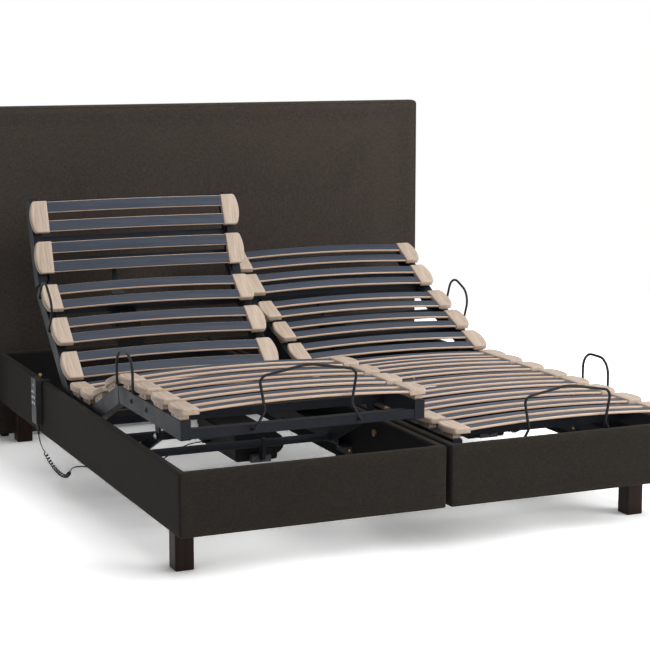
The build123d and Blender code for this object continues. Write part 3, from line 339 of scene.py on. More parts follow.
@dataclass(frozen=True)
class PowderCoat(Finish):
    """Baked paint on steel, with an orange-peel skin, rubbed paler along the edges."""

    base: Colour
    worn: Colour
    roughness: float
    gloss: float

    def mixed(self) -> Shading:
        """Speckled paint with edge wear.

        Returns:
            The mixed material.
        """
        s = Shading(self.name, self.roughness)
        rough = (self.roughness - 0.06, self.roughness + 0.1)
        peel = s.noise((700, 700, 700), detail=2)
        dust = s.noise((14, 14, 14), detail=4, roughness=0.6)
        wear = s.calc("MULTIPLY", s.edge_wear(radius=0.0016), s.span(dust, 0.42, 0.62))
        paint = s.mix(s.span(dust, 0.3, 0.7, 0.0, 0.35), self.base, self.worn)
        s.feed(s.shader, {"Base Color": s.mix(s.calc("MULTIPLY", wear, 0.8), paint, self.worn),
                          "Roughness": s.span(dust, 0.3, 0.7, *rough)})
        s.fix(Specular_IOR_Level=self.gloss)
        s.surface(peel, strength=0.12, depth=0.0004, soften=0.0012)
        return s


@dataclass(frozen=True)
class StainedWood(TwoTone):
    """Solid wood with upright grain under a matt stain."""

    def mixed(self) -> Shading:
        """Long grain and pores, paler along worn edges.

        Returns:
            The mixed material.
        """
        s = Shading(self.name, roughness=0.42)
        figure = s.noise((45, 45, 2.4), detail=4, roughness=0.6, distortion=0.6)
        pores = s.noise((520, 520, 18), detail=2)
        shade = s.blend(s.span(figure, 0.32, 0.68), s.span(pores, 0.35, 0.65), 0.3)
        wear = s.calc("MULTIPLY", s.edge_wear(radius=0.002), 0.35)
        s.feed(s.shader, {"Base Color": s.mix(wear, s.mix(shade, self.dark, self.light), self.light),
                          "Roughness": s.span(pores, 0.3, 0.7, 0.36, 0.52)})
        s.fix(Specular_IOR_Level=0.12)
        s.surface(s.blend(figure, pores, 0.6), strength=0.25, depth=0.0005, soften=0.0012)
        return s


@dataclass(frozen=True)
class SlatFilm(TwoTone):
    """Grained film on the faces of a bent slat."""

    def mixed(self) -> Shading:
        """Grain along the slat, each slat a shade of its own.

        Returns:
            The mixed material.
        """
        s = Shading(self.name, roughness=0.5, coords=Coords.GRAIN)
        figure = s.noise((4, 90, 90), detail=5, roughness=0.65, distortion=0.4)
        pores = s.noise((24, 900, 900), detail=2)
        shade = s.blend(s.span(figure, 0.3, 0.7), s.span(pores, 0.35, 0.65), 0.3)
        shade = s.blend(shade, s.tone(), 0.25)
        s.feed(s.shader, {"Base Color": s.mix(shade, self.dark, self.light),
                          "Roughness": s.span(pores, 0.3, 0.7, 0.5, 0.66)})
        s.fix(Specular_IOR_Level=0.2)
        s.surface(pores, strength=0.2, depth=0.0003)
        return s


@dataclass(frozen=True)
class PlyEdge(TwoTone):
    """Bare beech plies along the edge of a slat."""

    ply: float = 0.0013

    def mixed(self) -> Shading:
        """Glue lines between plies and short end grain.

        Returns:
            The mixed material.
        """
        s = Shading(self.name, roughness=0.55, coords=Coords.GRAIN)
        plies = s.bands("Z", self.ply, distortion=0.4)
        fibre = s.noise((30, 300, 1200), detail=3)
        shade = s.blend(s.span(plies, 0.1, 0.5), s.span(fibre, 0.3, 0.7), 0.55)
        s.feed(s.shader, {"Base Color": s.mix(s.blend(shade, s.tone(), 0.25), self.dark, self.light)})
        s.surface(plies, strength=0.25, depth=0.0003)
        return s


@dataclass(frozen=True)
class GrainedCap(TwoTone):
    """Moulded cap with a printed wood grain along the bed."""

    def mixed(self) -> Shading:
        """Streaks and fine pores along the cap, each cap a shade of its own.

        Returns:
            The mixed material.
        """
        s = Shading(self.name, roughness=0.5, coords=Coords.GRAIN)
        streaks = s.noise((150, 9, 150), detail=4, roughness=0.6, distortion=0.5)
        pores = s.noise((800, 40, 800), detail=2)
        shade = s.blend(s.span(streaks, 0.34, 0.62), s.span(pores, 0.3, 0.6), 0.3)
        shade = s.blend(shade, s.tone(), 0.2)
        s.feed(s.shader, {"Base Color": s.mix(shade, self.dark, self.light),
                          "Roughness": s.span(pores, 0.3, 0.7, 0.42, 0.56)})
        s.surface(s.blend(streaks, pores, 0.6), strength=0.2, depth=0.0004)
        return s


@dataclass(frozen=True)
class MouldedPlastic(Finish):
    """Spark-eroded plastic, faintly marbled and paler along its edges."""

    base: Colour
    worn: Colour
    roughness: float
    gloss: float = 0.35

    def mixed(self) -> Shading:
        """Fine mould grain with paler edges.

        Returns:
            The mixed material.
        """
        s = Shading(self.name, self.roughness)
        rough = (self.roughness - 0.06, self.roughness + 0.08)
        grit = s.noise((1400, 1400, 1400), detail=2)
        marble = s.noise((18, 18, 18), detail=3)
        wear = s.calc("MULTIPLY", s.edge_wear(radius=0.0015), s.span(marble, 0.35, 0.7))
        tint = s.mix(s.span(marble, 0.3, 0.7, 0.0, 0.4), self.base, self.worn)
        s.feed(s.shader, {"Base Color": s.mix(wear, tint, self.worn),
                          "Roughness": s.span(marble, 0.3, 0.7, *rough)})
        s.fix(Specular_IOR_Level=self.gloss)
        s.surface(grit, strength=0.16, depth=0.0003, soften=0.001)
        return s


@dataclass(frozen=True)
class PlatedSteel(Finish):
    """Plated screws and bolts with a slightly uneven shine."""

    bright: Colour
    dull: Colour

    def mixed(self) -> Shading:
        """Metal with dull clouds.

        Returns:
            The mixed material.
        """
        s = Shading(self.name, roughness=0.34)
        clouds = s.noise((160, 160, 160), detail=3)
        s.feed(s.shader, {"Base Color": s.mix(s.span(clouds, 0.35, 0.65), self.bright, self.dull),
                          "Roughness": s.span(clouds, 0.3, 0.7, 0.26, 0.46)})
        s.fix(Metallic=1.0)
        s.surface(clouds, strength=0.1, depth=0.0002, soften=0.0004)
        return s


@dataclass(frozen=True)
class LiningFelt(TwoTone):
    """Black needled felt inside the boxes."""

    def mixed(self) -> Shading:
        """Matted fibres.

        Returns:
            The mixed material.
        """
        s = Shading(self.name, roughness=0.95)
        fibres = s.blend(s.noise((260, 260, 900), detail=3), s.noise((900, 900, 260), detail=3), 0.5)
        s.feed(s.shader, {"Base Color": s.mix(s.span(fibres, 0.36, 0.64), self.dark, self.light)})
        s.fix(Specular_IOR_Level=0.15)
        s.surface(fibres, strength=0.4, depth=0.0006)
        return s


HEADBOARD_CLOTH = WovenCloth("cloth_headboard", (0.0265, 0.0214, 0.0181), (0.075, 0.0608, 0.0515))
BOX_CLOTH = WovenCloth("cloth_boxes", (0.0118, 0.0102, 0.0083), (0.036, 0.0312, 0.0254))
FRAME_PAINT = PowderCoat("paint_anthracite", (0.0105, 0.0120, 0.0160), (0.029, 0.032, 0.040), 0.46, 0.11)
WIRE_PAINT = PowderCoat("paint_wire", (0.004, 0.004, 0.005), (0.012, 0.012, 0.014), 0.55, 0.22)
LEG_WOOD = StainedWood("wood_legs", (0.006, 0.0030, 0.0020), (0.026, 0.0122, 0.0080))
BLOCK_WOOD = StainedWood("wood_blocks", (0.34, 0.22, 0.12), (0.56, 0.40, 0.25))
SLAT_FILM = SlatFilm("film_slats", (0.023, 0.030, 0.044), (0.067, 0.081, 0.110))
SLAT_EDGE = PlyEdge("beech_edges", (0.52, 0.33, 0.22), (0.80, 0.60, 0.455))
CAP_GRAIN = GrainedCap("caps_grained", (0.36, 0.265, 0.195), (0.63, 0.50, 0.40))
DRIVE_PLASTIC = MouldedPlastic("plastic_drives", (0.0045, 0.0045, 0.005), (0.013, 0.013, 0.0145), 0.55, 0.12)
SLIDE_PLASTIC = MouldedPlastic("plastic_slides", (0.030, 0.030, 0.032), (0.075, 0.075, 0.08), 0.38)
HANDSET_PLASTIC = MouldedPlastic("plastic_handsets", (0.009, 0.009, 0.011), (0.024, 0.024, 0.028), 0.55)
KEY_PLASTIC = MouldedPlastic("plastic_keys", (0.030, 0.030, 0.033), (0.07, 0.07, 0.075), 0.5)
KEY_WHITE = MouldedPlastic("plastic_key_marks", (0.80, 0.80, 0.80), (0.93, 0.93, 0.92), 0.45)
LEAD_RUBBER = MouldedPlastic("rubber_leads", (0.008, 0.008, 0.009), (0.020, 0.020, 0.022), 0.5)
BRASS_PLATE = PlatedSteel("steel_brass_plated", (0.66, 0.44, 0.19), (0.42, 0.26, 0.10))
ZINC_PLATE = PlatedSteel("steel_zinc_plated", (0.58, 0.59, 0.61), (0.36, 0.37, 0.39))
BLACK_STEEL = PlatedSteel("steel_blackened", (0.045, 0.045, 0.05), (0.022, 0.022, 0.024))
LINING_FELT = LiningFelt("felt_lining", (0.006, 0.006, 0.0065), (0.020, 0.020, 0.022))


# Mesh and node helpers


def finished_mesh(shape: bmesh.types.BMesh, name: str, crease: float = 35.0) -> bpy.types.Mesh:
    """Turn a shape into a mesh with outward faces and soft shading.

    Args:
        shape: The shape, which is freed.
        name: Name of the mesh.
        crease: Angle in degrees above which an edge stays sharp.

    Returns:
        The mesh.
    """
    bmesh.ops.remove_doubles(shape, verts=shape.verts, dist=1e-6)
    bmesh.ops.recalc_face_normals(shape, faces=shape.faces)
    mesh = bpy.data.meshes.new(name)
    shape.to_mesh(mesh)
    shape.free()
    mesh.shade_smooth()
    mesh.set_sharp_from_angle(angle=math.radians(crease))
    return mesh


def placed(name: str, data: bpy.types.ID) -> bpy.types.Object:
    """Put an object into the scene, at the origin.

    Args:
        name: Its name.
        data: Its mesh, curve, lamp or camera.

    Returns:
        The object.
    """
    piece = bpy.data.objects.new(name, data)
    bpy.context.scene.collection.objects.link(piece)
    return piece


def piece_of(shape: bmesh.types.BMesh, name: str, finish: Finish, crease: float) -> bpy.types.Object:
    """Make a piece of one finish.

    Args:
        shape: Its shape, which is freed.
        name: Its name.
        finish: Its finish.
        crease: Angle in degrees above which an edge stays sharp.

    Returns:
        The piece.
    """
    mesh = finished_mesh(shape, name, crease)
    mesh.materials.append(finish.material())
    return placed(name, mesh)


def loft(shape: bmesh.types.BMesh, rings: Sequence[Sequence[Vector]], wrap: bool = False) -> None:
    """Skin over rings of equally many points; the rings at the two ends are closed unless they wrap.

    Args:
        shape: The shape that gets the faces.
        rings: Closed rings in order.
        wrap: Whether the last ring joins the first.
    """
    loops = [[shape.verts.new(point) for point in ring] for ring in rings]
    pairs = list(zip(loops, loops[1:])) + ([(loops[-1], loops[0])] if wrap else [])
    for here, there in pairs:
        for i in range(len(here)):
            j = (i + 1) % len(here)
            shape.faces.new((here[i], here[j], there[j], there[i]))
    if not wrap:
        shape.faces.new(list(reversed(loops[0])))
        shape.faces.new(loops[-1])


def rounded_corners(width: float, height: float, radius: float, steps: int = 4) -> list[Pair]:
    """Points round a rectangle with rounded corners, about its middle, anticlockwise from the lower right.

    Args:
        width: Size along the first axis.
        height: Size along the second axis.
        radius: Radius of the corners.
        steps: Arcs' pieces.

    Returns:
        The points.
    """
    points = []
    for turn, (sx, sy) in enumerate(((1, -1), (1, 1), (-1, 1), (-1, -1))):
        for step in range(steps + 1):
            angle = math.radians(90 * (turn - 1 + step / steps))
            points.append((sx * (width / 2 - radius) + radius * math.cos(angle),
                           sy * (height / 2 - radius) + radius * math.sin(angle)))
    return points


def circle(radius: float, sides: int) -> list[Pair]:
    """Points round a circle about its middle, as many as it has sides."""
    angles = [2 * math.pi * i / sides for i in range(sides)]
    return [(radius * math.cos(angle), radius * math.sin(angle)) for angle in angles]


@dataclass
class RoundedOutline:
    """Stations round a rectangle with rounded corners, which can be drawn in by any distance."""

    width: float
    height: float
    radius: float
    step: float
    arc: tuple[float, ...] = (0.0, 15.0, 30.0, 41.0, 45.0, 49.0, 60.0, 75.0, 90.0)
    least_steps: int = 8

    def stations(self) -> list[Station]:
        """Space the stations out.

        Returns:
            The stations, anticlockwise from the lower left.
        """
        found = []
        for edge in Edge:
            length = (self.width if edge.value % 2 == 0 else self.height) - 2 * self.radius
            count = max(self.least_steps, round(length / self.step))
            found += [(edge, i / count, False) for i in range(1, count)]
            found += [(edge, angle, True) for angle in self.arc]
        return found

    def point(self, station: Station, inset: float) -> Pair:
        """A station's place.

        Args:
            station: The station.
            inset: How far the outline is drawn in there.

        Returns:
            Its place about the rectangle's middle.
        """
        edge, share, corner = station
        radius = max(self.radius - inset, 0.0)
        a, b = self.width / 2 - inset - radius, self.height / 2 - inset - radius
        ends = ((-a, -b), (a, -b), (a, b), (-a, b))
        start, end = ends[edge.value], ends[(edge.value + 1) % 4]
        out = math.radians(90 * (edge.value - 1) + (share if corner else 0.0))
        if corner:
            base = end
        else:
            base = tuple(p + (q - p) * share for p, q in zip(start, end))
        return base[0] + radius * math.cos(out), base[1] + radius * math.sin(out)


class NodeSketch(NodeBoard):
    """A Geometry Nodes tree with named inputs, turned to plain meshes."""

    def __init__(self, name: str, inputs: dict[str, str]) -> None:
        """Start a tree.

        Args:
            name: Name of the tree.
            inputs: Input names to their socket kinds; the geometry comes first of itself.
        """
        super().__init__(bpy.data.node_groups.new(name, "GeometryNodeTree"))
        face = self.tree.interface
        face.new_socket("Geometry", in_out="INPUT", socket_type="NodeSocketGeometry")
        made = {key: face.new_socket(key, in_out="INPUT", socket_type=f"NodeSocket{kind}")
                for key, kind in inputs.items()}
        self.identifiers = {key: socket.identifier for key, socket in made.items()}
        face.new_socket("Geometry", in_out="OUTPUT", socket_type="NodeSocketGeometry")
        self.inputs = self.tree.nodes.new("NodeGroupInput").outputs
        self.output = self.tree.nodes.new("NodeGroupOutput")

    def end(self, geometry: Socket, finish: Socket) -> Socket:
        """Realize what was laid out and give it its finish.

        Args:
            geometry: What was laid out.
            finish: The input that holds the material.

        Returns:
            The dressed geometry.
        """
        real = self.add("GeometryNodeRealizeInstances", {"Geometry": geometry})
        dressed = self.add("GeometryNodeSetMaterial", {"Geometry": real.outputs[0], "Material": finish})
        return dressed.outputs[0]

    def close(self, geometry: Socket) -> None:
        """Lead the geometry out of the tree."""
        self.tree.links.new(geometry, self.output.inputs[0])

    def run(self, name: str, mesh: bpy.types.Mesh, values: dict[str, object]) -> bpy.types.Mesh:
        """Evaluate the tree on a mesh.

        Args:
            name: Name of the new mesh.
            mesh: What goes into the tree.
            values: Values of the named inputs.

        Returns:
            A plain mesh with materials and attributes.
        """
        carrier = placed(f"{name}_carrier", mesh)
        modifier = carrier.modifiers.new("nodes", "NODES")
        modifier.node_group = self.tree
        for key, value in values.items():
            modifier[self.identifiers[key]] = value
        graph = bpy.context.evaluated_depsgraph_get()
        made = bpy.data.meshes.new_from_object(carrier.evaluated_get(graph), preserve_all_data_layers=True,
                                               depsgraph=graph)
        made.name = name
        while None in made.materials[:]:
            made.materials.pop(index=made.materials[:].index(None))
        carrier.modifiers.remove(modifier)
        bpy.data.objects.remove(carrier)
        return made


class RowTree(NodeSketch):
    """Repeats a slat pair or cap pair along a section."""

    INPUTS = {"Count": "Int", "Start": "Vector", "Step": "Vector", "Turn": "Vector", "Seed": "Int",
              "Finish": "Material", "Edge Finish": "Material"}

    def __init__(self) -> None:
        """Build the tree."""
        super().__init__("row_along_section", self.INPUTS)
        feed = self.inputs
        line = self.add("GeometryNodeMeshLine", mode="OFFSET", values={
            "Count": feed["Count"], "Start Location": feed["Start"], "Offset": feed["Step"]})
        turn = self.add("FunctionNodeEulerToRotation", {0: feed["Turn"]})
        row = self.add("GeometryNodeInstanceOnPoints", {
            "Points": line.outputs[0], "Instance": feed["Geometry"], "Rotation": turn.outputs[0]})
        luck = self.add("FunctionNodeRandomValue", {"Seed": feed["Seed"]}, data_type="FLOAT")
        toned = self.add("GeometryNodeStoreNamedAttribute", data_type="FLOAT", domain="INSTANCE", values={
            "Geometry": row.outputs[0], "Name": "tone", "Value": luck.outputs[1]})
        dressed = self.end(toned.outputs[0], feed["Finish"])
        edge = self.add("GeometryNodeInputNamedAttribute", {"Name": "edge"}, data_type="BOOLEAN")
        edged = self.add("GeometryNodeSetMaterial", {
            "Geometry": dressed, "Selection": edge.outputs[0], "Material": feed["Edge Finish"]})
        self.close(edged.outputs[0])


class FixingTree(NodeSketch):
    """Sets a screw, bolt or plug on each point, facing the way the point says."""

    def __init__(self) -> None:
        """Build the tree."""
        super().__init__("fixings_on_points", {"Fixing": "Object", "Finish": "Material"})
        feed = self.inputs
        facing = self.add("GeometryNodeInputNamedAttribute", {"Name": "facing"}, data_type="FLOAT_VECTOR")
        turn = self.add("FunctionNodeAlignRotationToVector", {"Vector": facing.outputs[0]}, axis="Z")
        fixing = self.add("GeometryNodeObjectInfo", {"Object": feed["Fixing"]})
        spread = self.add("GeometryNodeInstanceOnPoints", {
            "Points": feed["Geometry"], "Instance": fixing.outputs["Geometry"], "Rotation": turn.outputs[0]})
        self.close(self.end(spread.outputs[0], feed["Finish"]))


class WireTree(NodeSketch):
    """Bends a wire along a line of points, each with the radius of its bend."""

    BEND_STEPS = 9
    SIDES = 16

    def __init__(self) -> None:
        """Build the tree."""
        super().__init__("bent_wire", {"Wire Radius": "Float", "Finish": "Material"})
        feed = self.inputs
        line = self.add("GeometryNodeMeshToCurve", {"Mesh": feed["Geometry"]})
        bend = self.add("GeometryNodeInputNamedAttribute", {"Name": "bend"}, data_type="FLOAT")
        bent = self.add("GeometryNodeFilletCurve", mode="POLY", values={
            "Curve": line.outputs[0], "Radius": bend.outputs[0], "Count": self.BEND_STEPS,
            "Limit Radius": True})
        section = self.add("GeometryNodeCurvePrimitiveCircle", {
            "Resolution": self.SIDES, "Radius": feed["Wire Radius"]})
        wire = self.add("GeometryNodeCurveToMesh", {
            "Curve": bent.outputs[0], "Profile Curve": section.outputs[0], "Fill Caps": True})
        self.close(self.end(wire.outputs[0], feed["Finish"]))


# Where each section stands


@dataclass(frozen=True)
class Stance:
    """One half's section angles in degrees, as it stands at rest."""

    side: Side
    back: float
    head: float
    thigh: float

    def hinged(self, frame: Matrix, along: float, angle: float) -> Matrix:
        """A section's frame: another one's, moved along it and turned by an angle in degrees."""
        return frame @ Matrix.Translation((0, along, 0)) @ Matrix.Rotation(math.radians(angle), 4, "X")

    def seat_frame(self) -> Matrix:
        """The fixed seat, from the thigh hinge."""
        return Matrix.Translation((self.side.middle, FOOT_Y + THIGH_HINGE, RAIL_TOP))

    def back_frame(self) -> Matrix:
        """The back section, from its hinge."""
        return self.hinged(self.seat_frame(), SEAT_LENGTH, self.back)

    def head_frame(self) -> Matrix:
        """The head section, from its hinge."""
        return self.hinged(self.back_frame(), BACK_LENGTH, self.head)

    def thigh_frame(self) -> Matrix:
        """The thigh section, from its hinge."""
        return self.hinged(self.seat_frame(), 0.0, -self.thigh)

    def calf_frame(self) -> Matrix:
        """The calf section, from the knee; it stays level."""
        return Matrix.Translation(self.hinged(self.thigh_frame(), -THIGH_LENGTH, 0.0).translation)


@dataclass(frozen=True)
class CapPattern:
    """Where a section's caps lie: the first one's middle, the distance to the next and their count."""

    first: float
    pitch: float
    count: int

    def middle(self, index: int) -> float:
        """Middle of a cap along the section."""
        return self.first + index * self.pitch


STANCES = (Stance(Side.LEFT, 41.0, 29.0, 23.0), Stance(Side.RIGHT, 22.0, 8.0, 0.0))
SEAT_CAPS = CapPattern(0.065, 0.115, 2)
BACK_CAPS = CapPattern(0.087, 0.1465, 3)
HEAD_CAPS = CapPattern(0.088, 0.141, 2)
THIGH_CAPS = CapPattern(-0.080, -0.150, 2)
CALF_CAPS = CapPattern(-0.062, -0.150, 4)


# Sub-assemblies


@dataclass
class Studio:
    """Pale floor, soft lamps, white surroundings and the camera."""

    floor_size: float = 60.0
    floor_tone: float = 0.65
    floor_seen: float = 1.80
    floor_lift: float = 0.16
    # Painted shade on the floor as the eye sees it: ambient occlusion from the bed within shade_reach,
    # spanned from shade_open to shade_tone, darkens the floor near the bed
    shade_reach: float = 0.4
    shade_samples: int = 8
    shade_open: Pair = (0.35, 0.95)
    shade_tone: Pair = (0.50, 1.0)
    ambient: float = 0.20
    fade: Pair = (2.3, 5.0)
    camera_place: Triple = (-2.3181, -5.4330, 1.4685)
    camera_pitch: float = 80.78
    camera_turn: float = -23.77
    lens: float = 100.04
    sensor: float = 36.0

    # Name, place, target, side of the square and watts
    LAMPS = (
        ("lamp_overhead", (0.3, -0.3, 4.2), (0.1, -0.2, 0.0), 3.2, 76.0),
        ("lamp_front", (-0.5, -5.2, 2.4), (0.0, -0.2, 0.5), 2.6, 60.0),
        ("lamp_right", (3.6, -3.4, 2.6), (0.2, 0.9, 0.7), 2.2, 178.0),
        ("lamp_behind", (-0.5, 4.8, 1.3), (0.0, 1.0, 0.6), 2.0, 80.0),
    )

    def build(self) -> None:
        """Make the whole set."""
        scene = bpy.context.scene
        scene.view_settings.view_transform = "Standard"
        self.camera(scene)
        self.floor()
        self.surroundings(scene)
        for lamp in self.LAMPS:
            self.lamp(*lamp)

    def camera(self, scene: bpy.types.Scene) -> None:
        """Set the camera at the photograph's viewing angle.

        Args:
            scene: The scene that gets it.
        """
        data = bpy.data.cameras.new("camera")
        data.lens, data.sensor_width = self.lens, self.sensor
        camera = placed("camera", data)
        camera.location = self.camera_place
        camera.rotation_euler = (math.radians(self.camera_pitch), 0.0, math.radians(self.camera_turn))
        scene.camera = camera

    def seen_directly(self, board: NodeBoard) -> Socket:
        """Tell rays that show the surroundings to the eye from those that light the bed.

        Args:
            board: The tree that asks.

        Returns:
            1 for rays seen directly, in a shiny face or through glass, and 0 for the others.
        """
        path = board.add("ShaderNodeLightPath").outputs
        mirrored = board.calc("MAXIMUM", path["Is Glossy Ray"], path["Is Transmission Ray"])
        return board.calc("MAXIMUM", path["Is Camera Ray"], mirrored)

    def floor(self) -> None:
        """A wide floor that takes the shadow, shows the eye a painted shade near the bed, and melts into the
        white behind it.
        """
        half = self.floor_size / 2
        shape = bmesh.new()
        corners = [(sx * half, sy * half, 0.0) for sx, sy in ((-1, -1), (1, -1), (1, 1), (-1, 1))]
        shape.faces.new([shape.verts.new(corner) for corner in corners])
        floor = placed("floor", finished_mesh(shape, "floor"))
        material = bpy.data.materials.new("floor_paper")
        material.use_nodes = True
        board = NodeBoard(material.node_tree)
        board.tree.nodes.clear()
        seen = self.seen_directly(board)
        # Painted shade: where ambient occlusion finds the bed near, the floor's colour and glow as the eye
        # sees them are darkened
        near = board.add("ShaderNodeAmbientOcclusion", {"Distance": self.shade_reach},
                         samples=self.shade_samples)
        shade = board.span(near.outputs["AO"], *self.shade_open, *self.shade_tone)
        shown = board.calc("MULTIPLY", shade, self.floor_seen)
        tone = board.add("ShaderNodeMix", {0: seen, 2: self.floor_tone, 3: shown}, data_type="FLOAT")
        paper = board.add("ShaderNodeBsdfDiffuse", {"Color": tone.outputs[0]})
        lift = board.calc("MULTIPLY", board.calc("MULTIPLY", seen, shade), self.floor_lift)
        glow = board.add("ShaderNodeEmission", {"Strength": lift})
        both = board.add("ShaderNodeAddShader", {0: paper.outputs[0], 1: glow.outputs[0]})
        place = board.add("ShaderNodeTexCoord").outputs["Object"]
        away = board.add("ShaderNodeVectorMath", {0: place}, operation="LENGTH").outputs["Value"]
        far = board.calc("MULTIPLY", seen, board.span(away, *self.fade, easing="SMOOTHSTEP"))
        white = board.add("ShaderNodeEmission").outputs[0]
        melt = board.add("ShaderNodeMixShader", {0: far, 1: both.outputs[0], 2: white})
        board.add("ShaderNodeOutputMaterial", {"Surface": melt.outputs[0]})
        floor.data.materials.append(material)

    def surroundings(self, scene: bpy.types.Scene) -> None:
        """Make the surroundings white to the eye, and a plain soft light on the bed.

        Args:
            scene: The scene that gets them.
        """
        world = bpy.data.worlds.new("studio")
        world.use_nodes = True
        scene.world = world
        board = NodeBoard(world.node_tree)
        strength = board.span(self.seen_directly(board), 0.0, 1.0, self.ambient, 1.0)
        board.feed(board.tree.nodes["Background"], {"Color": (1.0, 1.0, 1.0, 1.0), "Strength": strength})

    def lamp(self, name: str, place: Triple, target: Triple, size: float, power: float) -> None:
        """A soft square lamp.

        Args:
            name: Its name.
            place: Where it hangs.
            target: Where it points.
            size: Side of the square.
            power: Watts.
        """
        data = bpy.data.lights.new(name, "AREA")
        data.shape, data.size, data.energy = "SQUARE", size, power
        lamp = placed(name, data)
        lamp.location = place
        lamp.rotation_euler = (Vector(target) - Vector(place)).to_track_quat("-Z", "Y").to_euler()


@dataclass
class CurlyLead:
    """Handset lead: a plain drop, a curly stretch and a tail to the drive, as one cord."""

    side: Side
    diameter: float = 0.004
    curl_radius: float = 0.005
    lead_in: float = 0.016
    open_curls: int = 12
    closed_curls: int = 7
    closed_pitch: float = 0.007
    points_per_curl: int = 14
    route_steps: int = 40
    cord_steps: int = 4
    cord_rounding: int = 2
    sleeve_rise: float = 0.010
    sleeve_radius: float = 0.0056
    sleeve_taper: float = 0.0026
    sleeve_rings: int = 16
    sleeve_sides: int = 16
    rib_height: float = 0.0005
    rib_pitch: float = 0.0022

    LENGTHS = {Side.LEFT: 1.28, Side.RIGHT: 1.09}
    # Places as (out from the box side, along the bed from the foot face, height)
    DROP = ((0.012, 1.388, 0.166), (0.012, 1.388, 0.144), (0.012, 1.375, 0.121), (0.012, 1.348, 0.1065),
            (0.012, 1.322, 0.099))
    CURL = ((0.012, 1.322, 0.099), (0.012, 1.270, 0.084), (0.012, 1.210, 0.070), (0.012, 1.146, 0.065),
            (0.012, 1.086, 0.067), (0.012, 1.040, 0.078), (0.012, 1.008, 0.101))
    TAIL = {
        Side.LEFT: ((0.012, 1.008, 0.101), (0.012, 0.9864, 0.116525), (0.0, 0.969, 0.124),
                    (-0.024, 0.957, 0.124), (-0.060, 0.951, 0.115), (-0.108, 0.948, 0.102),
                    (-0.162, 0.946, 0.097), (-0.216, 0.944, 0.104), (-0.268, 0.942, 0.124),
                    (-0.316, 0.941, 0.149), (-0.364, 0.940, 0.172), (-0.406, 0.940, 0.172)),
        Side.RIGHT: ((0.012, 1.008, 0.101), (0.012, 0.9864, 0.116525), (0.0, 0.969, 0.124),
                     (-0.024, 0.957, 0.124), (-0.058, 0.945, 0.116), (-0.092, 0.926, 0.121),
                     (-0.122, 0.904, 0.136), (-0.150, 0.886, 0.153), (-0.176, 0.876, 0.164),
                     (-0.206, 0.876, 0.164)),
    }

    @property
    def length(self) -> float:
        """The lead's length along its course."""
        return self.LENGTHS[self.side]

    def place(self, point: Triple) -> Vector:
        """A route point in the bed's frame."""
        out, along, height = point
        return Vector((self.side.outer_face + self.side.value * out, FOOT_Y + along, height))

    def spline(self, name: str, points: Sequence[Vector]) -> bpy.types.Curve:
        """Draw a smooth open curve.

        Args:
            name: Name of the curve.
            points: What steers it.

        Returns:
            The curve.
        """
        curve = bpy.data.curves.new(name, "CURVE")
        curve.dimensions = "3D"
        line = curve.splines.new("NURBS")
        line.points.add(len(points) - 1)
        for knot, point in zip(line.points, points):
            knot.co = (*point, 1.0)
        line.order_u = 3
        line.use_endpoint_u = True
        return curve

    def traced(self, points: Sequence[Vector]) -> list[Vector]:
        """Trace the smooth line that a route steers.

        Args:
            points: The route.

        Returns:
            Points close together along the line.
        """
        curve = self.spline("route", points)
        curve.resolution_u = self.route_steps
        carrier = placed("route", curve)
        graph = bpy.context.evaluated_depsgraph_get()
        line = bpy.data.meshes.new_from_object(carrier.evaluated_get(graph))
        found = [vertex.co.copy() for vertex in line.vertices]
        bpy.data.objects.remove(carrier)
        bpy.data.meshes.remove(line)
        return found

    def curls(self) -> list[Vector]:
        """Wind the curly stretch round its route: open curls, then closed ones.

        Returns:
            Points along the cord.
        """
        line = self.traced([self.place(point) for point in self.CURL])
        marks = [0.0]
        for here, there in zip(line, line[1:]):
            marks.append(marks[-1] + (there - here).length)
        closed = self.closed_curls * self.closed_pitch
        pitch = (marks[-1] - 2 * self.lead_in - closed) / self.open_curls
        turns, found, i = self.open_curls + self.closed_curls, [], 0
        for step in range(turns * self.points_per_curl + 1):
            turn = step / self.points_per_curl
            opened = min(turn, self.open_curls)
            along = self.lead_in + opened * pitch + (turn - opened) * self.closed_pitch
            while marks[i + 1] < along:
                i += 1
            share = (along - marks[i]) / (marks[i + 1] - marks[i])
            forward = (line[i + 1] - line[i]).normalized()
            sideways = Vector((self.side.value, 0, 0))
            upward = forward.cross(sideways) * self.side.value
            angle = 2 * math.pi * turn
            spoke = sideways * math.sin(angle) + upward * math.cos(angle)
            found.append(line[i].lerp(line[i + 1], share) + spoke * self.curl_radius)
        return found

    def sleeve(self) -> bpy.types.Object:
        """Make the ribbed, tapered sleeve that keeps the lead from kinking under the handset.

        Returns:
            The sleeve.
        """
        top = self.place(self.DROP[0]) + Vector((0, 0, self.sleeve_rise))
        shape = bmesh.new()
        rings = []
        for i in range(self.sleeve_rings + 1):
            rib = self.rib_height if i % 2 else 0.0
            radius = self.sleeve_radius - self.sleeve_taper * i / self.sleeve_rings + rib
            rings.append([top + Vector((x, y, -self.rib_pitch * i))
                          for x, y in circle(radius, self.sleeve_sides)])
        loft(shape, rings)
        sleeve = piece_of(shape, f"{self.side.label}_lead_sleeve", LEAD_RUBBER, crease=50)
        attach(sleeve, "bed")
        return sleeve

    def build(self) -> None:
        drop = [self.place(point) for point in self.DROP]
        tail = [self.place(point) for point in self.TAIL[self.side]]
        curve = self.spline(f"{self.side.label}_handset_lead", drop + self.curls() + tail)
        curve.resolution_u = self.cord_steps
        curve.bevel_depth = self.diameter / 2
        curve.bevel_resolution = self.cord_rounding
        curve.use_fill_caps = True
        cord = placed(f"{self.side.label}_handset_lead", curve)
        curve.materials.append(LEAD_RUBBER.material())
        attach(cord, "bed")
        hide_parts(f"{self.side.label}_lead", f"{self.side.label}_curly_lead")
        self.sleeve()
        LOG.info("lead of the %s half, %.2f m", self.side.label, self.length)


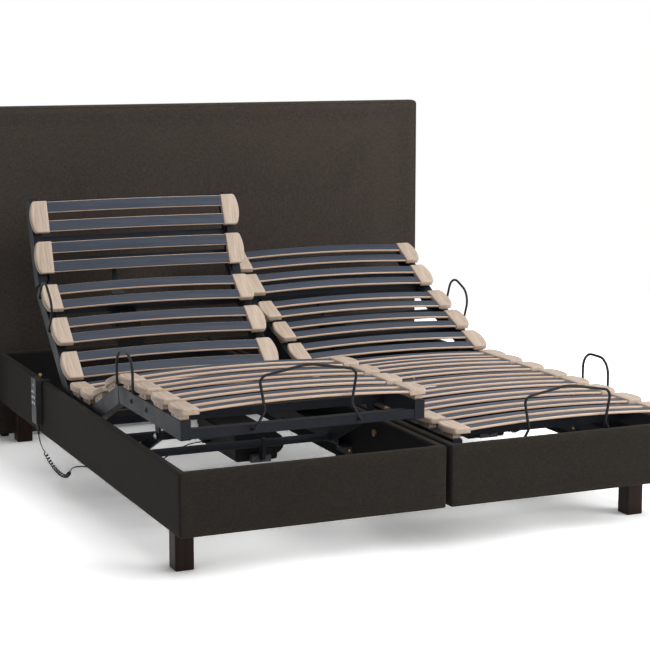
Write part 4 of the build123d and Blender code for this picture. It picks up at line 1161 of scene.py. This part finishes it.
@dataclass
class Headboard:
    """Upholstered headboard: a padded front in a boxed border, sewn together round the edge."""

    width: float = 1.790
    bottom: float = 0.010
    top: float = 1.205
    front: float = FOOT_Y + BOX_LENGTH
    thickness: float = 0.080
    corner: float = 0.016
    border: float = 0.011
    step: float = 0.03
    arc: tuple[float, ...] = (0, 22, 45, 68, 90)
    ripple: float = 0.0005
    ripples: float = 7.0
    edge_ripples: float = 20.0

    # Inset from the outline and depth behind the front, from the middle outwards
    CROWN = ((0.560, 0.0), (0.42, 0.0), (0.30, 0.0001), (0.20, 0.0003), (0.13, 0.0007), (0.08, 0.0012),
             (0.05, 0.0018), (0.030, 0.0024), (0.020, 0.0029))
    # The same, with the inset measured from the seam
    SEAM = ((0.0035, 0.0034), (0.0012, 0.0040), (0.0, 0.0046), (-0.0012, 0.0042), (-0.0032, 0.0040))
    EDGE = ((0.0055, 0.0047), (0.0032, 0.0062), (0.0016, 0.0082), (0.0008, 0.0115), (0.0003, 0.020),
            (0.0, 0.034), (0.0003, 0.052), (0.0009, 0.066), (0.0022, 0.074), (0.0050, 0.0788))
    # Insets alone, on the flat back
    BACK = (0.010, 0.06, 0.30, 0.560)

    def profile(self) -> list[Pair]:
        """Inset and depth of each ring, from the middle of the front to the middle of the back."""
        seam = [(self.border + inset, depth) for inset, depth in self.SEAM]
        return [*self.CROWN, *seam, *self.EDGE, *((inset, self.thickness) for inset in self.BACK)]

    def build(self) -> None:
        outline = RoundedOutline(self.width, self.top - self.bottom, self.corner, self.step, self.arc)
        stations = outline.stations()
        middle = (self.top + self.bottom) / 2
        rings = []
        for inset, depth in self.profile():
            ring = []
            for station in stations:
                x, z = outline.point(station, inset)
                spot = Vector((x * self.ripples, depth * self.edge_ripples, z * self.ripples))
                sunk = max(0.0, depth + self.ripple * noise.noise(spot))
                ring.append(Vector((x, self.front + sunk, z + middle)))
            rings.append(ring)
        shape = bmesh.new()
        loft(shape, rings)
        piece = piece_of(shape, "headboard_upholstery", HEADBOARD_CLOTH, crease=60)
        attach(piece, "bed")
        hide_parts("headboard")
        LOG.info("headboard")


@dataclass
class UpholsteredBox:
    """Box of four padded panels in one cover, sewn at the corners."""

    side: Side
    bottom: float = 0.140
    top: float = 0.320
    thickness: float = 0.026
    edge_radius: float = 0.007
    corner: float = 0.009
    crown: float = 0.0022
    seam: float = 0.0016
    seam_angle: float = 45.0
    seam_reach: float = 5.0
    # Powers by which the crown falls off towards a panel's ends and edges
    fall_along: int = 10
    fall_up: int = 4
    step: float = 0.03
    edge_steps: int = 5
    wall_steps: int = 7
    ripple: float = 0.0004
    ripples: float = 9.0
    rise_ripples: float = 14.0

    def pull_in(self, station: Station, rise: float) -> float:
        """How far the cover's outer face is drawn in at a station.

        Args:
            station: Place round the box.
            rise: Share of the height.

        Returns:
            The distance.
        """
        _, share, corner = station
        if corner:
            return self.crown + self.seam * max(0.0, 1 - abs(share - self.seam_angle) / self.seam_reach)
        full = (1 - abs(2 * share - 1) ** self.fall_along) * (1 - abs(2 * rise - 1) ** self.fall_up)
        return self.crown * (1 - full)

    def walls(self, height: float) -> list[Pair]:
        """Draw the padded panel's section, with points spread up its two faces.

        Args:
            height: The panel's height.

        Returns:
            Points as (outwards, up) about the section's middle.
        """
        section = rounded_corners(self.thickness, height, self.edge_radius, self.edge_steps)
        points = []
        for (out, up), (next_out, next_up) in zip(section, section[1:] + section[:1]):
            steps = self.wall_steps if abs(next_up - up) > height / 2 else 1
            points += [(out + (next_out - out) * i / steps, up + (next_up - up) * i / steps)
                       for i in range(steps)]
        return points

    def build(self) -> None:
        outline = RoundedOutline(BOX_WIDTH, BOX_LENGTH, self.corner, self.step)
        stations = outline.stations()
        height = self.top - self.bottom
        middle_x, middle_y = self.side.middle, FOOT_Y + BOX_LENGTH / 2
        rings = []
        for out, up in self.walls(height):
            inset, rise = self.thickness / 2 - out, up / height + 0.5
            outer = max(0.0, 1 - inset / self.thickness) ** 2
            ring = []
            for station in stations:
                drawn = inset + outer * self.pull_in(station, rise)
                x, y = outline.point(station, drawn)
                spot = Vector((x * self.ripples + self.side.value, y * self.ripples, up * self.rise_ripples))
                ripple = max(-drawn, self.ripple * noise.noise(spot))
                x, y = outline.point(station, drawn + outer * ripple)
                ring.append(Vector((x + middle_x, y + middle_y, self.bottom + rise * height)))
            rings.append(ring)
        shape = bmesh.new()
        loft(shape, rings, wrap=True)
        piece = piece_of(shape, f"{self.side.label}_box_upholstery", BOX_CLOTH, crease=50)
        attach(piece, "bed")
        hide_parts("box_panels")
        LOG.info("box of the %s half", self.side.label)


@dataclass
class SlatRow:
    """Slats of one section in pairs, and the caps that hold their ends on the rails."""

    slat_width: float = 0.038
    slat_thickness: float = 0.008
    slat_spacing: float = 0.066
    slat_seat: float = 0.020
    slat_arch: float = 0.014
    slat_reach: float = 0.356
    slat_round: float = 0.0028
    slat_steps: int = 28
    bare_slope: float = 0.85
    cap_length: float = 0.110
    cap_inner: float = 0.314
    cap_outer: float = 0.376
    cap_bulge: float = 0.012
    cap_bottom: float = 0.017
    cap_top: float = 0.035
    cap_fillet: float = 0.0085
    fillet_share: float = 0.8
    cap_steps: int = 22
    holder: Pair = (0.338, 0.362)
    holder_length: float = 0.076
    holder_chamfer: float = 0.004
    holder_sink: float = 0.001
    hole_spacing: float = 0.034
    hole_radius: float = 0.0043
    hole_sides: int = 16
    tree: RowTree = field(default_factory=RowTree)

    # Inset from the cap's outline, with the height above its bottom and the depth below its top
    LOW_EDGE = ((0.0022, 0.0), (0.0006, 0.0008), (0.0, 0.003))
    HIGH_EDGE = ((0.0, 0.0042), (0.0005, 0.0022), (0.0017, 0.0008), (0.0038, 0.0001), (0.0085, 0.0))

    def __post_init__(self) -> None:
        """Draw the slat pair and the cap pair once."""
        self.slat_mesh = self.slat_pair()
        self.cap_mesh = self.cap_pair()

    def keep_grain(self, mesh: bpy.types.Mesh) -> None:
        """Store each point's place on the single piece, which its grain follows."""
        grain = mesh.attributes.new("grain", "FLOAT_VECTOR", "POINT")
        grain.data.foreach_set("vector", [value for vertex in mesh.vertices for value in vertex.co])

    def slat_pair(self) -> bpy.types.Mesh:
        """Draw two arched slats, their faces marked as edge where the plies show.

        Returns:
            The mesh of both.
        """
        shape = bmesh.new()
        section = rounded_corners(self.slat_width, self.slat_thickness, self.slat_round)
        for middle in (-self.slat_spacing / 2, self.slat_spacing / 2):
            rings = []
            for i in range(self.slat_steps + 1):
                share = -1 + 2 * i / self.slat_steps
                rise = self.slat_seat + self.slat_arch * (1 - share * share) + self.slat_thickness / 2
                tilt = math.atan(2 * self.slat_arch * share / self.slat_reach)
                lean, up = math.sin(tilt), math.cos(tilt)
                rings.append([Vector((share * self.slat_reach + b * lean, middle + a, rise + b * up))
                              for a, b in section])
            loft(shape, rings)
        mesh = finished_mesh(shape, "slat_pair", crease=40)
        self.keep_grain(mesh)
        edge = mesh.attributes.new("edge", "BOOLEAN", "FACE")
        edge.data.foreach_set("value", [abs(face.normal.z) < self.bare_slope for face in mesh.polygons])
        return mesh

    def cap_outline(self, inset: float) -> list[Pair]:
        """The cap seen from above on the right rail, drawn in by a distance.

        Args:
            inset: The distance.

        Returns:
            Points as (x, y).
        """
        half, shoulder = self.cap_length / 2 - inset, self.cap_outer - self.cap_bulge - inset
        inner, outer = self.cap_inner + inset, self.cap_outer - inset
        points = [(inner, half), (inner, -half)]
        for i in range(self.cap_steps + 1):
            y = half * math.sin(math.radians(-90 + 180 * i / self.cap_steps))
            over = max(0.0, abs(y) - (half - self.cap_fillet)) / self.cap_fillet
            corner = self.fillet_share * self.cap_fillet * (1 - math.sqrt(max(0.0, 1 - over * over)))
            points.append((outer - (outer - shoulder) * (y / half) ** 2 - corner, y))
        return points

    def cap_pair(self) -> bpy.types.Mesh:
        """Draw a cap on the right rail and its mirror image on the left one.

        Returns:
            The mesh of both.
        """
        shape = bmesh.new()
        levels = [(inset, self.cap_bottom + up) for inset, up in self.LOW_EDGE]
        levels += [(inset, self.cap_top - down) for inset, down in self.HIGH_EDGE]
        loft(shape, [[Vector((x, y, z)) for x, y in self.cap_outline(inset)] for inset, z in levels])
        self.cap_holder(shape)
        left = shape.copy()
        bmesh.ops.scale(left, vec=(-1, 1, 1), verts=left.verts)
        mirrored = bpy.data.meshes.new("cap_mirror")
        left.to_mesh(mirrored)
        left.free()
        shape.from_mesh(mirrored)
        bpy.data.meshes.remove(mirrored)
        mesh = finished_mesh(shape, "cap_pair", crease=32)
        self.keep_grain(mesh)
        return mesh

    def cap_holder(self, shape: bmesh.types.BMesh) -> None:
        """Add the holder under a cap, a block with two round holes through it.

        Args:
            shape: The cap's shape.
        """
        half, high, cut = self.holder_length / 2, self.cap_bottom + self.holder_sink, self.holder_chamfer
        outlines = [[(half - cut, 0.0), (half, cut), (half, high),
                     (-half, high), (-half, cut), (-half + cut, 0.0)]]
        for middle in (-self.hole_spacing / 2, self.hole_spacing / 2):
            hole = circle(self.hole_radius, self.hole_sides)
            outlines.append([(middle + y, self.cap_bottom / 2 + z) for y, z in hole])
        faces = tessellate_polygon([[Vector((0, y, z)) for y, z in outline] for outline in outlines])
        ends = []
        for x in self.holder:
            rings = [[shape.verts.new((x, y, z)) for y, z in outline] for outline in outlines]
            verts = [vert for ring in rings for vert in ring]
            for face in faces:
                shape.faces.new([verts[i] for i in face])
            ends.append(rings)
        for near, far in zip(*ends):
            for i in range(len(near)):
                shape.faces.new((near[i - 1], near[i], far[i], far[i - 1]))

    def lay(self, label: str, frame: Matrix, caps: CapPattern, body: str, nodes: tuple[str, str],
            seed: int) -> None:
        """Lay the pairs along a section and dress them.

        Args:
            label: Start of the pieces' names.
            frame: Where the section hangs.
            caps: Where the caps lie on it.
            body: What the pieces ride on.
            nodes: Names of the slats and caps that they stand for.
            seed: Start of the slats' own shades.
        """
        turn = tuple(frame.to_euler())
        start = tuple(frame @ Vector((0, caps.first, 0)))
        step = tuple(frame.to_3x3() @ Vector((0, caps.pitch, 0)))
        looks = (("slats", self.slat_mesh, SLAT_FILM, SLAT_EDGE, "slat_coat"),
                 ("caps", self.cap_mesh, CAP_GRAIN, CAP_GRAIN, "cap_plastic"))
        for node, (kind, mesh, finish, edge, slot) in zip(nodes, looks):
            values = {"Count": caps.count, "Start": start, "Step": step, "Turn": turn, "Seed": seed,
                      "Finish": finish.material(), "Edge Finish": edge.material()}
            piece = placed(f"{label}_{kind}_row", self.tree.run(f"{label}_{kind}_row", mesh, values))
            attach(piece, body)
            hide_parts(node)
            LOG.info("%s of the %s section", kind, label.replace("_", " "))

    def build(self, stance: Stance, seed: int) -> None:
        """Lay all sections of one half.

        Args:
            stance: How the half stands.
            seed: First of the half's random seeds.
        """
        half = stance.side.label
        sections = (("back", stance.back_frame(), BACK_CAPS), ("head", stance.head_frame(), HEAD_CAPS),
                    ("thigh", stance.thigh_frame(), THIGH_CAPS), ("calf", stance.calf_frame(), CALF_CAPS))
        self.lay(f"{half}_seat", stance.seat_frame(), SEAT_CAPS, "bed", ("seat_slats", "seat_caps"), seed)
        for next_seed, (name, frame, caps) in enumerate(sections, seed + 1):
            label = f"{half}_{name}"
            self.lay(label, frame, caps, label, (f"{label}_slats", f"{label}_caps"), next_seed)


@dataclass
class HeadStay:
    """Cross tube of each head section, between its two rows of caps."""

    size: float = 0.025
    drop: float = 0.021
    along: float = 0.162
    half_length: float = 0.335
    corner: float = 0.003

    def build(self, stance: Stance) -> None:
        """Make the tube of one half.

        Args:
            stance: How the half stands.
        """
        half, frame = stance.side.label, stance.head_frame()
        shape = bmesh.new()
        section = rounded_corners(self.size, self.size, self.corner, steps=3)
        loft(shape, [[frame @ Vector((x, self.along + a, b - self.drop - self.size / 2)) for a, b in section]
                     for x in (-self.half_length, self.half_length)])
        piece = piece_of(shape, f"{half}_head_stay", FRAME_PAINT, crease=40)
        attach(piece, f"{half}_head")
        LOG.info("stay of the %s head section", half)


@dataclass
class WireGuards:
    """Bent wire stops: a hoop at the foot of each half and loops along its outer side."""

    wire_radius: float = 0.004
    bar_face: float = -0.5555
    bar_middle: float = -0.0385
    reach: float = 0.020
    hoop_foot: float = 0.160
    hoop_waist: Pair = (0.129, 0.014)
    hoop_shoulder: Pair = (0.146, 0.108)
    hoop_crown: float = 0.134
    hoop_foot_bend: float = 0.008
    hoop_bend: float = 0.022
    hoop_crown_bend: float = 0.146
    loop_plane: float = 0.381
    loop_height: float = 0.118
    loop_bend: float = 0.052
    loop_low: float = 0.0085
    loop_foot: float = 0.338
    loop_foot_bend: float = 0.009
    past_cap: float = 0.017
    crease: float = 50.0
    tree: WireTree = field(default_factory=WireTree)

    def hoop(self) -> WireLine:
        """Draw the foot hoop on the calf section.

        Returns:
            Its points and the bend at each.
        """
        y = -CALF_LENGTH - self.reach
        waist_x, waist_z = self.hoop_waist
        shoulder_x, shoulder_z = self.hoop_shoulder
        half = [((self.hoop_foot, self.bar_face, self.bar_middle), 0.0),
                ((self.hoop_foot, y, self.bar_middle), self.hoop_foot_bend),
                ((waist_x, y, waist_z), self.hoop_bend),
                ((shoulder_x, y, shoulder_z), self.hoop_bend)]
        other = [((-x, along, z), bend) for (x, along, z), bend in reversed(half)]
        return half + [((0.0, y, self.hoop_crown), self.hoop_crown_bend)] + other

    def loop(self, side: Side, caps: CapPattern, first: int) -> WireLine:
        """Draw a loop on a section's outer side, from just past one cap to just past the next.

        Args:
            side: The half that it is on.
            caps: Where the section's caps lie.
            first: Number of the first of the two caps.

        Returns:
            Its points and the bend at each.
        """
        x, foot = side.value * self.loop_plane, side.value * self.loop_foot
        start, end = (caps.middle(i) + self.past_cap for i in (first, first + 1))
        return [((foot, start, self.loop_low), 0.0), ((x, start, self.loop_low), self.loop_foot_bend),
                ((x, start, self.loop_height), self.loop_bend), ((x, end, self.loop_height), self.loop_bend),
                ((x, end, self.loop_low), self.loop_foot_bend), ((foot, end, self.loop_low), 0.0)]

    def wires(self, name: str, frame: Matrix, lines: Sequence[WireLine]) -> bpy.types.Object:
        """Bend wires along lines of points.

        Args:
            name: Name of the piece.
            frame: Where the section hangs.
            lines: For each wire, its points and the bend at each.

        Returns:
            The piece.
        """
        mesh = bpy.data.meshes.new(name)
        points, edges, bends = [], [], []
        for line in lines:
            edges += [(len(points) + i, len(points) + i + 1) for i in range(len(line) - 1)]
            points += [frame @ Vector(point) for point, _ in line]
            bends += [bend for _, bend in line]
        mesh.from_pydata(points, edges, [])
        mesh.attributes.new("bend", "FLOAT", "POINT").data.foreach_set("value", bends)
        made = self.tree.run(name, mesh, {"Wire Radius": self.wire_radius, "Finish": WIRE_PAINT.material()})
        made.shade_smooth()
        made.set_sharp_from_angle(angle=math.radians(self.crease))
        return placed(name, made)

    def build(self, stance: Stance) -> None:
        """Make the guards of one half.

        Args:
            stance: How the half stands.
        """
        half = stance.side.label
        calf = self.wires(f"{half}_calf_guards", stance.calf_frame(),
                          [self.hoop(), self.loop(stance.side, CALF_CAPS, 0)])
        back = self.wires(f"{half}_back_guard", stance.back_frame(), [self.loop(stance.side, BACK_CAPS, 1)])
        for piece, body, node in ((calf, f"{half}_calf", f"{half}_calf_wires"),
                                  (back, f"{half}_back", f"{half}_back_loop")):
            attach(piece, body)
            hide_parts(node)
        LOG.info("wire guards of the %s half", half)


@dataclass
class HandsetKeys:
    """Rocker keys of one handset, each with two white marks, and the lamp above them."""

    side: Side
    middle_y: float = FOOT_Y + 1.398
    heights: tuple[float, float, float] = (0.286, 0.267, 0.248)
    front: float = 0.023
    proud: float = 0.0016
    depth: float = 0.00395
    length: float = 0.040
    width: float = 0.013
    tilt: float = 4.0
    steps: int = 12
    dish: float = 1.6
    end_round: float = 0.0006
    floor_rise: float = 0.0005
    mark_middle: float = 0.0112
    mark_size: Pair = (0.0135, 0.0095)
    mark_corner: float = 0.0030
    lens_height: float = 0.309
    lens_sides: int = 20

    # Depth below the key's face and distance from its side, up the rounded edge
    LIP = ((0.0010, 0.0), (0.0003, 0.0004), (0.0, 0.0013))
    # Inset from the mark's outline and height on the key's face
    MARK = ((0.0, -0.0002), (0.0, 0.0002), (0.0006, 0.0005))
    # Radius and height on the housing's face
    LENS = ((0.0042, -0.0006), (0.0042, 0.0004), (0.0034, 0.0011), (0.0018, 0.0016), (0.0005, 0.0017))

    def out(self, distance: float, y: float, z: float) -> Vector:
        """A place given by its distance from the box side and from the handset's middle line."""
        return Vector((self.side.outer_face + self.side.value * distance, self.middle_y + y, z))

    def face(self, y: float) -> float:
        """Distance of a key's dished face from the box side, at a place along the key."""
        return self.front + self.proud * (0.5 + 0.5 * (abs(y) / (self.length / 2)) ** self.dish)

    def bar(self, z: float) -> bpy.types.Mesh:
        """Shape one key without its marks.

        Args:
            z: Height of its middle.

        Returns:
            Its mesh.
        """
        shape = bmesh.new()
        rings = []
        half, back = self.length / 2, self.front - self.depth
        for i in range(self.steps + 1):
            y = -half + self.length * i / self.steps
            close = self.end_round if i in (0, self.steps) else 0.0
            top, width = self.face(y) - close, self.width / 2 - close
            floor = back + abs(y) * math.tan(math.radians(self.tilt)) + self.floor_rise * abs(y) / half
            edge = [(floor, width)] + [(top - below, width - inward) for below, inward in self.LIP]
            outline = [(out, -across) for out, across in edge] + edge[::-1]
            rings.append([self.out(out, y, z + across) for out, across in outline])
        loft(shape, rings)
        return finished_mesh(shape, "rocker_key", crease=40)

    def marks(self, z: float) -> bpy.types.Mesh:
        """Shape the white marks at the two ends of a key.

        Args:
            z: Height of the key's middle.

        Returns:
            Their mesh.
        """
        shape = bmesh.new()
        long, tall = self.mark_size
        pad = rounded_corners(long, tall, self.mark_corner)
        for middle in (-self.mark_middle, self.mark_middle):
            rings = []
            for inset, up in self.MARK:
                along, across = 1 - 2 * inset / long, 1 - 2 * inset / tall
                rings.append([self.out(self.face(middle + a) + up, middle + a * along, z + b * across)
                              for a, b in pad])
            loft(shape, rings)
        return finished_mesh(shape, "rocker_marks", crease=40)

    def key(self, index: int, z: float) -> None:
        """Make one rocker: a dished key with a white mark at each end.

        Args:
            index: Its number from the top.
            z: Height of its middle.
        """
        mesh, marked = self.bar(z), self.marks(z)
        joined = bmesh.new()
        joined.from_mesh(mesh)
        keys = len(joined.faces)
        joined.from_mesh(marked)
        joined.faces.ensure_lookup_table()
        for face in joined.faces[keys:]:
            face.material_index = 1
        joined.to_mesh(mesh)
        joined.free()
        bpy.data.meshes.remove(marked)
        mesh.materials.append(KEY_PLASTIC.material())
        mesh.materials.append(KEY_WHITE.material())
        label = f"{self.side.label}_rocker_{index}"
        piece = placed(f"{label}_key", mesh)
        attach(piece, f"{label}_body")
        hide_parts(label)

    def lamp_lens(self) -> None:
        """Make the small domed lens, set on the housing's face above the keys."""
        shape = bmesh.new()
        loft(shape, [[self.out(self.front + up, y, self.lens_height + z)
                      for y, z in circle(radius, self.lens_sides)] for radius, up in self.LENS])
        piece = piece_of(shape, f"{self.side.label}_handset_lens", KEY_WHITE, crease=50)
        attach(piece, "bed")

    def build(self) -> None:
        """Make the keys and the lens."""
        for index, z in enumerate(self.heights, 1):
            self.key(index, z)
        self.lamp_lens()
        LOG.info("keys of the %s handset", self.side.label)


@dataclass
class Fixings:
    """Screws, bolts and tube plugs, each set on the face that it holds."""

    screw_head: float = 0.0062
    screw_sides: int = 18
    bolt_head: float = 0.0085
    bolt_sides: int = 20
    plug_corner: float = 0.0022
    flange_face: float = 0.3695
    foot_bracket: float = 0.640
    head_bracket: float = 1.210
    screw_height: float = 0.183
    screw_spread: float = 0.040
    rail_bolts: Pair = (-0.126, -0.263)
    link_pin: Triple = (0.340, -0.269, -0.101)
    tree: FixingTree = field(default_factory=FixingTree)

    # Share of the head's radius and height on its face, from the rim inwards
    SCREW = ((1.0, -0.0008), (1.0, 0.0012), (0.9, 0.0026), (0.62, 0.0036), (0.42, 0.0038), (0.38, 0.0014),
             (0.05, 0.0012))
    BOLT = ((1.0, -0.0006), (1.0, 0.0010), (0.98, 0.0014), (0.74, 0.0014), (0.73, 0.0030), (0.60, 0.0046),
            (0.36, 0.0050), (0.34, 0.0022), (0.05, 0.0020))
    # Inset from the tube's outline and height on its end
    PLUG = ((0.0006, -0.0006), (0.0, 0.0), (0.0, 0.0012), (0.0012, 0.0020), (0.0040, 0.0022))

    def turned(self, name: str, radius: float, profile: Sequence[Pair], sides: int) -> bpy.types.Object:
        """Make a turned head that stands on its face, along Z.

        Args:
            name: Name of the object.
            radius: The head's radius.
            profile: Share of the radius and height, from the rim inwards.
            sides: Flats round the axis.

        Returns:
            The object that is set on points.
        """
        shape = bmesh.new()
        loft(shape, [[Vector((x, y, z)) for x, y in circle(radius * share, sides)] for share, z in profile])
        return placed(name, finished_mesh(shape, name, crease=30))

    def screw(self) -> bpy.types.Object:
        """A pan head with a round recess."""
        return self.turned("screw", self.screw_head, self.SCREW, self.screw_sides)

    def bolt(self) -> bpy.types.Object:
        """A button head with a socket, on a washer."""
        return self.turned("bolt", self.bolt_head, self.BOLT, self.bolt_sides)

    def plug(self) -> bpy.types.Object:
        """Make a plug that closes a rail's end, its rim on the tube's wall.

        Returns:
            The object that is set on points.
        """
        shape = bmesh.new()
        outline = rounded_corners(RAIL_WIDTH, RAIL_HEIGHT, self.plug_corner, steps=3)
        loft(shape, [[Vector((a * (1 - 2 * inset / RAIL_WIDTH), b * (1 - 2 * inset / RAIL_HEIGHT), z))
                      for a, b in outline] for inset, z in self.PLUG])
        return placed("plug", finished_mesh(shape, "plug"))

    def set_on(self, name: str, fixing: bpy.types.Object, frame: Matrix,
               places: Sequence[tuple[Triple, Triple]], finish: Finish, body: str) -> None:
        """Set a fixing on each place.

        Args:
            name: Name of the piece.
            fixing: What is set there; it is used up.
            frame: Where the section hangs.
            places: Places and the ways that they face, on the section.
            finish: The fixings' finish.
            body: What they ride on.
        """
        mesh = bpy.data.meshes.new(name)
        mesh.from_pydata([frame @ Vector(place) for place, _ in places], [], [])
        facing = [value for _, way in places for value in frame.to_3x3() @ Vector(way)]
        mesh.attributes.new("facing", "FLOAT_VECTOR", "POINT").data.foreach_set("vector", facing)
        piece = placed(name, self.tree.run(name, mesh, {"Fixing": fixing, "Finish": finish.material()}))
        bpy.data.objects.remove(fixing)
        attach(piece, body)
        LOG.info("%s, %d", name.replace("_", " "), len(places))

    def build(self, stance: Stance) -> None:
        """Make the fixings of one half.

        Args:
            stance: How the half stands.
        """
        half, calf = stance.side.label, stance.calf_frame()
        base = Matrix.Translation((stance.side.middle, FOOT_Y, 0))
        spread = (-self.screw_spread, self.screw_spread)
        brackets = (("foot", self.foot_bracket, BRASS_PLATE), ("head", self.head_bracket, BLACK_STEEL))
        for place, along, finish in brackets:
            screws = [((sign * self.flange_face, along + step, self.screw_height), (-sign, 0, 0))
                      for sign in (-1, 1) for step in spread]
            self.set_on(f"{half}_{place}_bracket_screws", self.screw(), base, screws, finish, "bed")
        middle = -RAIL_HEIGHT / 2
        rail = [((sign * RAIL_OUTER, along, middle), (sign, 0, 0))
                for sign in (-1, 1) for along in self.rail_bolts]
        self.set_on(f"{half}_calf_bolts", self.bolt(), calf, rail, BLACK_STEEL, f"{half}_calf")
        out, along, up = self.link_pin
        pins = [((sign * out, along, up), (sign, 0, 0)) for sign in (-1, 1)]
        self.set_on(f"{half}_link_bolts", self.bolt(), calf, pins, ZINC_PLATE, f"{half}_calf")
        line = RAIL_OUTER - RAIL_WIDTH / 2
        ends = [((sign * line, HEAD_LENGTH, middle), (0, 1, 0)) for sign in (-1, 1)]
        self.set_on(f"{half}_head_plugs", self.plug(), stance.head_frame(), ends, DRIVE_PLASTIC,
                    f"{half}_head")


class Dressing:
    """Finishes of the pieces whose solids already have the right shape."""

    SHARED = {
        "headboard_glides": DRIVE_PLASTIC, "legs": LEG_WOOD, "leg_blocks": BLOCK_WOOD,
        "fasteners": BRASS_PLATE, "box_lining": LINING_FELT, "base_frames": FRAME_PAINT,
        "drive_housings": DRIVE_PLASTIC, "handsets": HANDSET_PLASTIC,
    }
    PER_HALF = {
        "back_frame": FRAME_PAINT, "head_frame": FRAME_PAINT, "thigh_frame": FRAME_PAINT,
        "calf_frame": FRAME_PAINT, "leg_lift": FRAME_PAINT, "back_slide": SLIDE_PLASTIC,
        "leg_slide": SLIDE_PLASTIC, "head_slide": SLIDE_PLASTIC, "head_drive": DRIVE_PLASTIC,
    }

    def build(self, nodes: dict[str, bpy.types.Object]) -> None:
        """Give each such piece its finish.

        Args:
            nodes: The frame's pieces by name.
        """
        finishes = dict(self.SHARED)
        for side in Side:
            finishes |= {f"{side.label}_{name}": finish for name, finish in self.PER_HALF.items()}
        for name, finish in finishes.items():
            for slot in nodes[name].material_slots:
                slot.material = finish.material()
            LOG.info("finish of %s", name.replace("_", " "))


def main() -> None:
    """Build the whole bed, sub-assembly by sub-assembly."""
    logging.basicConfig(level=logging.INFO, format="%(name)s: %(message)s")
    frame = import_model()
    Studio().build()
    for side in Side:
        CurlyLead(side).build()
    Headboard().build()
    rows, guards, fixings = SlatRow(), WireGuards(), Fixings()
    for number, stance in enumerate(STANCES):
        UpholsteredBox(stance.side).build()
        rows.build(stance, SEEDS_PER_HALF * number)
        HeadStay().build(stance)
        guards.build(stance)
        HandsetKeys(stance.side).build()
        fixings.build(stance)
    Dressing().build(frame["nodes"])


if __name__ == "__main__":
    main()
